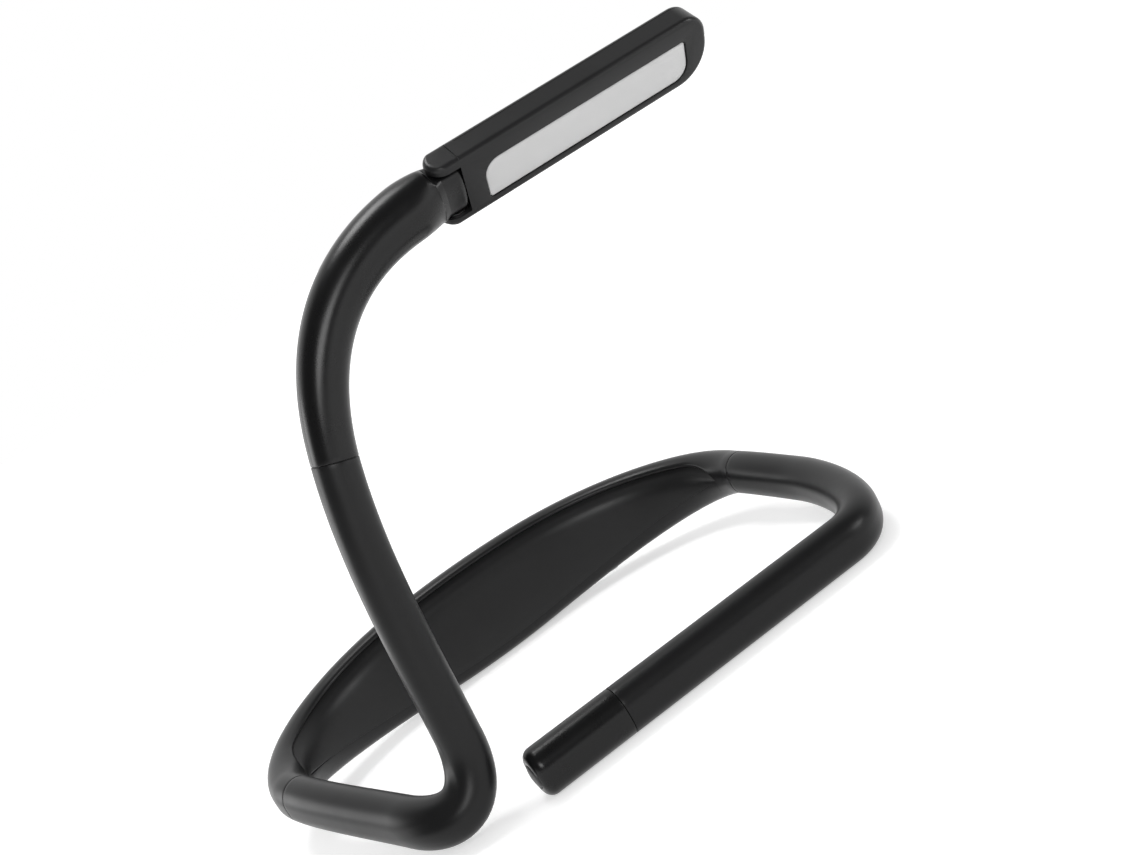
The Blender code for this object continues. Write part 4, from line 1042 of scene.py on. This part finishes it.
def window(inset, z):
    radii = (WINDOW_RADIUS, WINDOW_SHARP_RADIUS, WINDOW_RADIUS, WINDOW_SHARP_RADIUS)
    return plate(WINDOW_START, HEAD_LENGTH - WINDOW_END_MARGIN, WINDOW_WIDTH / 2, radii, inset, z,
                 WINDOW_SHIFT)


def cavity(z):
    radii = (HEAD_TIP_RADIUS - HEAD_WALL, CAVITY_RADIUS, CAVITY_RADIUS, HEAD_TIP_UPPER_RADIUS - HEAD_WALL)
    return plate(HEAD_REAR + REAR_WALL, HEAD_LENGTH - HEAD_WALL, HEAD_WIDTH / 2 - HEAD_WALL, radii,
                 height=z)


def full_head(name):
    """The whole head with its ears, before it is divided into case and cover."""
    back = HEAD_THICK / 2
    back_high = COVER_THICK - SEAM_GAP
    steps = []
    for angle in quarter(9)[:0:-1]:
        steps.append((FACE + FACE_FILLET * (1 - math.sin(angle)), FACE_FILLET * (1 - math.cos(angle))))
    steps += [(z, 0.0) for z in np.linspace(FACE + FACE_FILLET, back - back_high, 16)]
    for angle in quarter(11)[1:]:
        steps.append((back - back_high * (1 - math.sin(angle)), BACK_FILLET * (1 - math.cos(angle))))
    radii = (HEAD_TIP_RADIUS, EAR_CORNER, EAR_CORNER, HEAD_TIP_UPPER_RADIUS)
    rings = []
    for z, inset in steps:
        start = -math.sqrt(max(back**2 - z * z, 0.0)) - inset
        rings.append(plate(start, HEAD_LENGTH, HEAD_WIDTH / 2, radii, inset, z))
    return head_loft(name, rings, "head", "shell")


def ear_lines():
    """Cutters for the thin line that sets each ear off from the head's long side."""
    lines = []
    for side in (-1, 1):
        low, high = sorted(side * (HEAD_WIDTH / 2 + reach) for reach in (-EAR_LINE, OVERRUN))
        lines.append(head_block(
            f"ear_line_{side}", (EAR_END, low, -OVERRUN), (EAR_END + EAR_LINE, high, OVERRUN)))
    return lines


def hollow_cutter():
    """The window with its rounded edge, and the room for the lamp behind it."""
    rings = [window(-EDGE, FACE - OVERRUN)]
    for angle in quarter(5):
        rings.append(window(-EDGE * (1 - math.sin(angle)), FACE + EDGE * (1 - math.cos(angle))))
    inside = FACE + FACE_WALL
    return head_loft("hollow", [*rings, window(0.0, inside), cavity(inside), cavity(PARTING + OVERRUN)])


def slot_cutter():
    """The room between the ears, with a round wall for the elbow's tongue to turn in."""
    corner = math.hypot(TONGUE_REACH - TONGUE_CORNER, TONGUE_THICK / 2 - TONGUE_CORNER)
    wall = corner + TONGUE_CORNER + SEAM_GAP / 2
    angles = np.linspace(-math.pi / 2, math.pi / 2, SLOT_POINTS)
    profile = [(wall * math.cos(a), wall * math.sin(a)) for a in angles]
    profile += [(-OVERRUN, wall), (-OVERRUN, -wall)]
    return head_loft("slot", [[(x, y, z) for x, z in profile] for y in (-SLOT_HALF, SLOT_HALF)])


def pin_holes():
    """Blind holes in the ears. Their turn keeps their corners off the ears' flat faces."""
    holes = []
    radius = PIN_DIAMETER / 2 + SEAM_GAP
    for side in (-1, 1):
        bm = bmesh.new()
        bmesh.ops.create_cone(bm, cap_ends=True, segments=HOLE_ROUND, radius1=radius, radius2=radius,
                              depth=EAR_WIDTH)
        turn = Matrix.Translation((0.0, side * SLOT_HALF, 0.0)) @ Matrix.Rotation(math.pi / 2, 4, "X")
        turn @= Matrix.Rotation(PIN_HOLE_TURN, 4, "Z")
        bmesh.ops.transform(bm, matrix=HEAD_FRAME @ turn, verts=bm.verts)
        holes.append(mesh_piece(f"pin_hole_{side}", bm))
    return holes


def make_lens():
    inside = FACE + FACE_WALL + SEAM_GAP
    face = FACE + LENS_SUNK
    rings = [window(-LENS_MARGIN, inside + LENS_THICK), window(-LENS_MARGIN, inside),
             window(LENS_LINE, inside)]
    for angle in quarter(5):
        inset = LENS_LINE + LENS_FILLET * (1 - math.cos(angle))
        rings.append(window(inset, face + LENS_FILLET * (1 - math.sin(angle))))
    for inset, rise in LENS_CROWN:
        rings.append(window(LENS_LINE + inset, face - rise))
    lens = head_loft("lens_cover", rings, "lens", "lens", angle=ROUND_SHARP)
    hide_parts("lens")
    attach(lens, "lamp_head")


def make_head():
    case = full_head("head_body")
    cover = full_head("head_back")
    cut(case, ear_lines())
    low = (-OVERRUN, -OVERRUN, -OVERRUN)
    end = HEAD_LENGTH + OVERRUN
    top = head_block("top", (COVER_START, -OVERRUN, PARTING), (end, OVERRUN, OVERRUN))
    cut(case, [hollow_cutter(), *pin_holes(), slot_cutter(), top])
    under = head_block("under", low, (end, OVERRUN, PARTING + LINE))
    behind = head_block("behind", low, (COVER_START + LINE, OVERRUN, OVERRUN))
    cut(cover, [under, behind])
    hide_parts("head_case")
    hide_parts("head_cover")
    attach(case, "lamp_head")
    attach(cover, "lamp_head")
    make_lens()


# The switch cap and its button

def make_cap(end):
    first = LINE / 2
    hole = BUTTON_DIAMETER / 2 + SEAM_GAP
    rings = []

    def ring(distance, outline):
        rings.append(section(moved(end, distance), outline))

    for back, inset in lip_steps():
        ring(first + back, tube_oval(inset))
    for distance in np.linspace(first + LIP, CAP_LENGTH - CAP_FILLET, 12):
        ring(distance, tube_oval())
    for angle in quarter(14)[1:]:
        inset = CAP_FILLET * (1 - math.cos(angle))
        if TUBE_THICK / 2 - inset > hole + CAP_CHAMFER:
            ring(CAP_LENGTH - CAP_FILLET * (1 - math.sin(angle)), tube_oval(inset))
    ring(CAP_LENGTH, circle(hole + CAP_CHAMFER))
    ring(CAP_LENGTH - CAP_CHAMFER, circle(hole))
    ring(CAP_LENGTH - BAND_WALL, circle(hole))
    ring(CAP_LENGTH - BAND_WALL, tube_oval(BAND_WALL))
    ring(first, tube_oval(BAND_WALL))
    cap = loft("end_cap", rings, "gloss", "gloss", ring_shaped=True, angle=ROUND_SHARP)
    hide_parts("switch_cap")
    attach(cap, "free_arm")


def make_button(end):
    """A domed button turned round the cap's axis, with a flange that stays inside the cap."""
    radius = BUTTON_DIAMETER / 2
    flange = radius + BUTTON_FLANGE * BUTTON_FLANGE_SHARE
    inside = BAND_WALL + SEAM_GAP
    profile = [(0.0, -BUTTON_DOME)]
    for share in np.linspace(0.0, 1.0, 9)[1:]:
        dome = -BUTTON_DOME * (1 - BUTTON_CROWN_SHARE * share**2)
        profile.append((radius * BUTTON_FACE_SHARE * share, dome))
    profile += [(radius * across, BUTTON_DOME * deep) for across, deep in BUTTON_EDGE_SHARES]
    profile += [(radius, inside), (flange, inside), (flange, inside + BUTTON_FLANGE),
                (0.0, inside + BUTTON_FLANGE)]
    tip = end["at"] + end["along"] * CAP_LENGTH + OFFSET
    bm = bmesh.new()
    rows = []
    for reach, deep in profile:
        row = []
        for j in range(BUTTON_ROUND if reach > 0.0 else 1):
            angle = 2 * math.pi * j / BUTTON_ROUND
            row.append(bm.verts.new(tip + (deep, reach * math.cos(angle), reach * math.sin(angle))))
        rows.append(row)
    for one, other in zip(rows, rows[1:]):
        join_rows(bm, one, other)
    button = mesh_piece("end_button", bm, "button")
    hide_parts("power_button")
    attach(button, "button")


near, far = near_route(), far_route()
band = make_band(near, far)
make_arms(band, near, far)
make_elbow(near)
make_head()
cap_seam = frame_at(far, far["marks"][-1])
make_cap(cap_seam)
make_button(cap_seam)

# Pieces inside that keep their own shape and get a finish
for names, finish in (
    (("battery_cell",), "cell"),
    (("battery_tape", "thermal_pad"), "tape"),
    (("charging_board", "switch_board", "led_board"), "board"),
    (("near_core_clamp", "far_core_clamp", "cap_core_clamp"), "nylon"),
    (("hinge_pin", "hinge_washer_1", "hinge_washer_2", "press_switch"), "steel"),
    (tuple(f"led_{number}" for number in range(1, 9)), "led"),
):
    for name in names:
        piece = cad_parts.get(name)
        if piece is not None:
            piece.data.materials.clear()
            piece.data.materials.append(finishes[finish])


# The floor, the lights and the camera

def background_rays(tree):
    """1 for the rays that show the background: from the camera, off gloss and through glass."""
    path = tree.nodes.new("ShaderNodeLightPath")
    found = path.outputs["Is Camera Ray"]
    for name in ("Is Glossy Ray", "Is Transmission Ray"):
        found = calculate(tree, "MAXIMUM", found, path.outputs[name])
    return found


def make_floor():
    bm = bmesh.new()
    bmesh.ops.create_circle(bm, cap_ends=True, segments=FLOOR_ROUND, radius=FLOOR_RADIUS)
    mesh = bpy.data.meshes.new("floor")
    bm.to_mesh(mesh)
    bm.free()
    floor = bpy.data.objects.new("floor", mesh)
    bpy.context.scene.collection.objects.link(floor)
    floor.location.z = -FLOOR_DROP
    made, tree, shader = new_material("floor_pale")
    shader.inputs["Base Color"].default_value = (FLOOR_TONE, FLOOR_TONE, FLOOR_TONE, 1.0)
    shader.inputs["Roughness"].default_value = FLOOR_ROUGHNESS
    shader.inputs["Specular IOR Level"].default_value = 0.0
    # The floor whitens away from the object, so that it meets the world without a line
    place = tree.nodes.new("ShaderNodeNewGeometry")
    away = tree.nodes.new("ShaderNodeVectorMath")
    away.operation = "LENGTH"
    tree.links.new(place.outputs["Position"], away.inputs[0])
    whiter = spread(tree, away.outputs["Value"], GLOW_START, GLOW_END, FLOOR_GLOW, FAR_GLOW)
    glow = calculate(tree, "MULTIPLY", background_rays(tree), whiter.outputs["Result"])
    shader.inputs["Emission Color"].default_value = WHITE
    tree.links.new(glow, shader.inputs["Emission Strength"])
    mesh.materials.append(made)


def make_world():
    """White for the rays that show the background, and a grey fill for all others."""
    world = bpy.data.worlds.new("studio")
    world.use_nodes = True
    bpy.context.scene.world = world
    tree = world.node_tree
    background = tree.nodes["Background"]
    background.inputs["Color"].default_value = WHITE
    strength = spread(tree, background_rays(tree), 0.0, 1.0, WORLD_FILL)
    tree.links.new(strength.outputs["Result"], background.inputs["Strength"])
    # In reflections the backdrop is white behind the object and the room in front of it is dim
    place = tree.nodes.new("ShaderNodeTexCoord")
    towards = tree.nodes.new("ShaderNodeVectorMath")
    towards.operation = "DOT_PRODUCT"
    towards.inputs[1].default_value = BACKDROP_AIM
    tree.links.new(place.outputs["Generated"], towards.inputs[0])
    room = spread(tree, towards.outputs["Value"], *BACKDROP_EDGE_SHARES, DIM_ROOM)
    room.interpolation_type = "SMOOTHSTEP"
    path = tree.nodes.new("ShaderNodeLightPath")
    shown = spread(tree, path.outputs["Is Glossy Ray"], 0.0, 1.0, 1.0)
    tree.links.new(room.outputs["Result"], shown.inputs["To Max"])
    tree.links.new(shown.outputs["Result"], strength.inputs["To Max"])


def make_light(name, place, width, height, power):
    light = bpy.data.lights.new(name, "AREA")
    light.shape = "RECTANGLE"
    light.size = width
    light.size_y = height
    light.energy = power
    made = bpy.data.objects.new(name, light)
    made.location = place
    made.rotation_euler = (Vector(LIGHTS_AIM) - Vector(place)).to_track_quat("-Z", "Y").to_euler()
    bpy.context.scene.collection.objects.link(made)


def make_camera():
    data = bpy.data.cameras.new("view")
    data.lens = CAMERA_LENS
    camera = bpy.data.objects.new("view", data)
    turn = Euler([math.radians(angle) for angle in CAMERA_TURN]).to_matrix()
    place = Vector(CAMERA_PLACE) + Vector(OFFSET)
    camera.matrix_world = Matrix.Translation(place) @ turn.to_4x4()
    bpy.context.scene.collection.objects.link(camera)
    bpy.context.scene.camera = camera


make_floor()
make_world()
for light in LIGHTS:
    make_light(*light)
make_camera()
bpy.context.scene.view_settings.view_transform = "Standard"
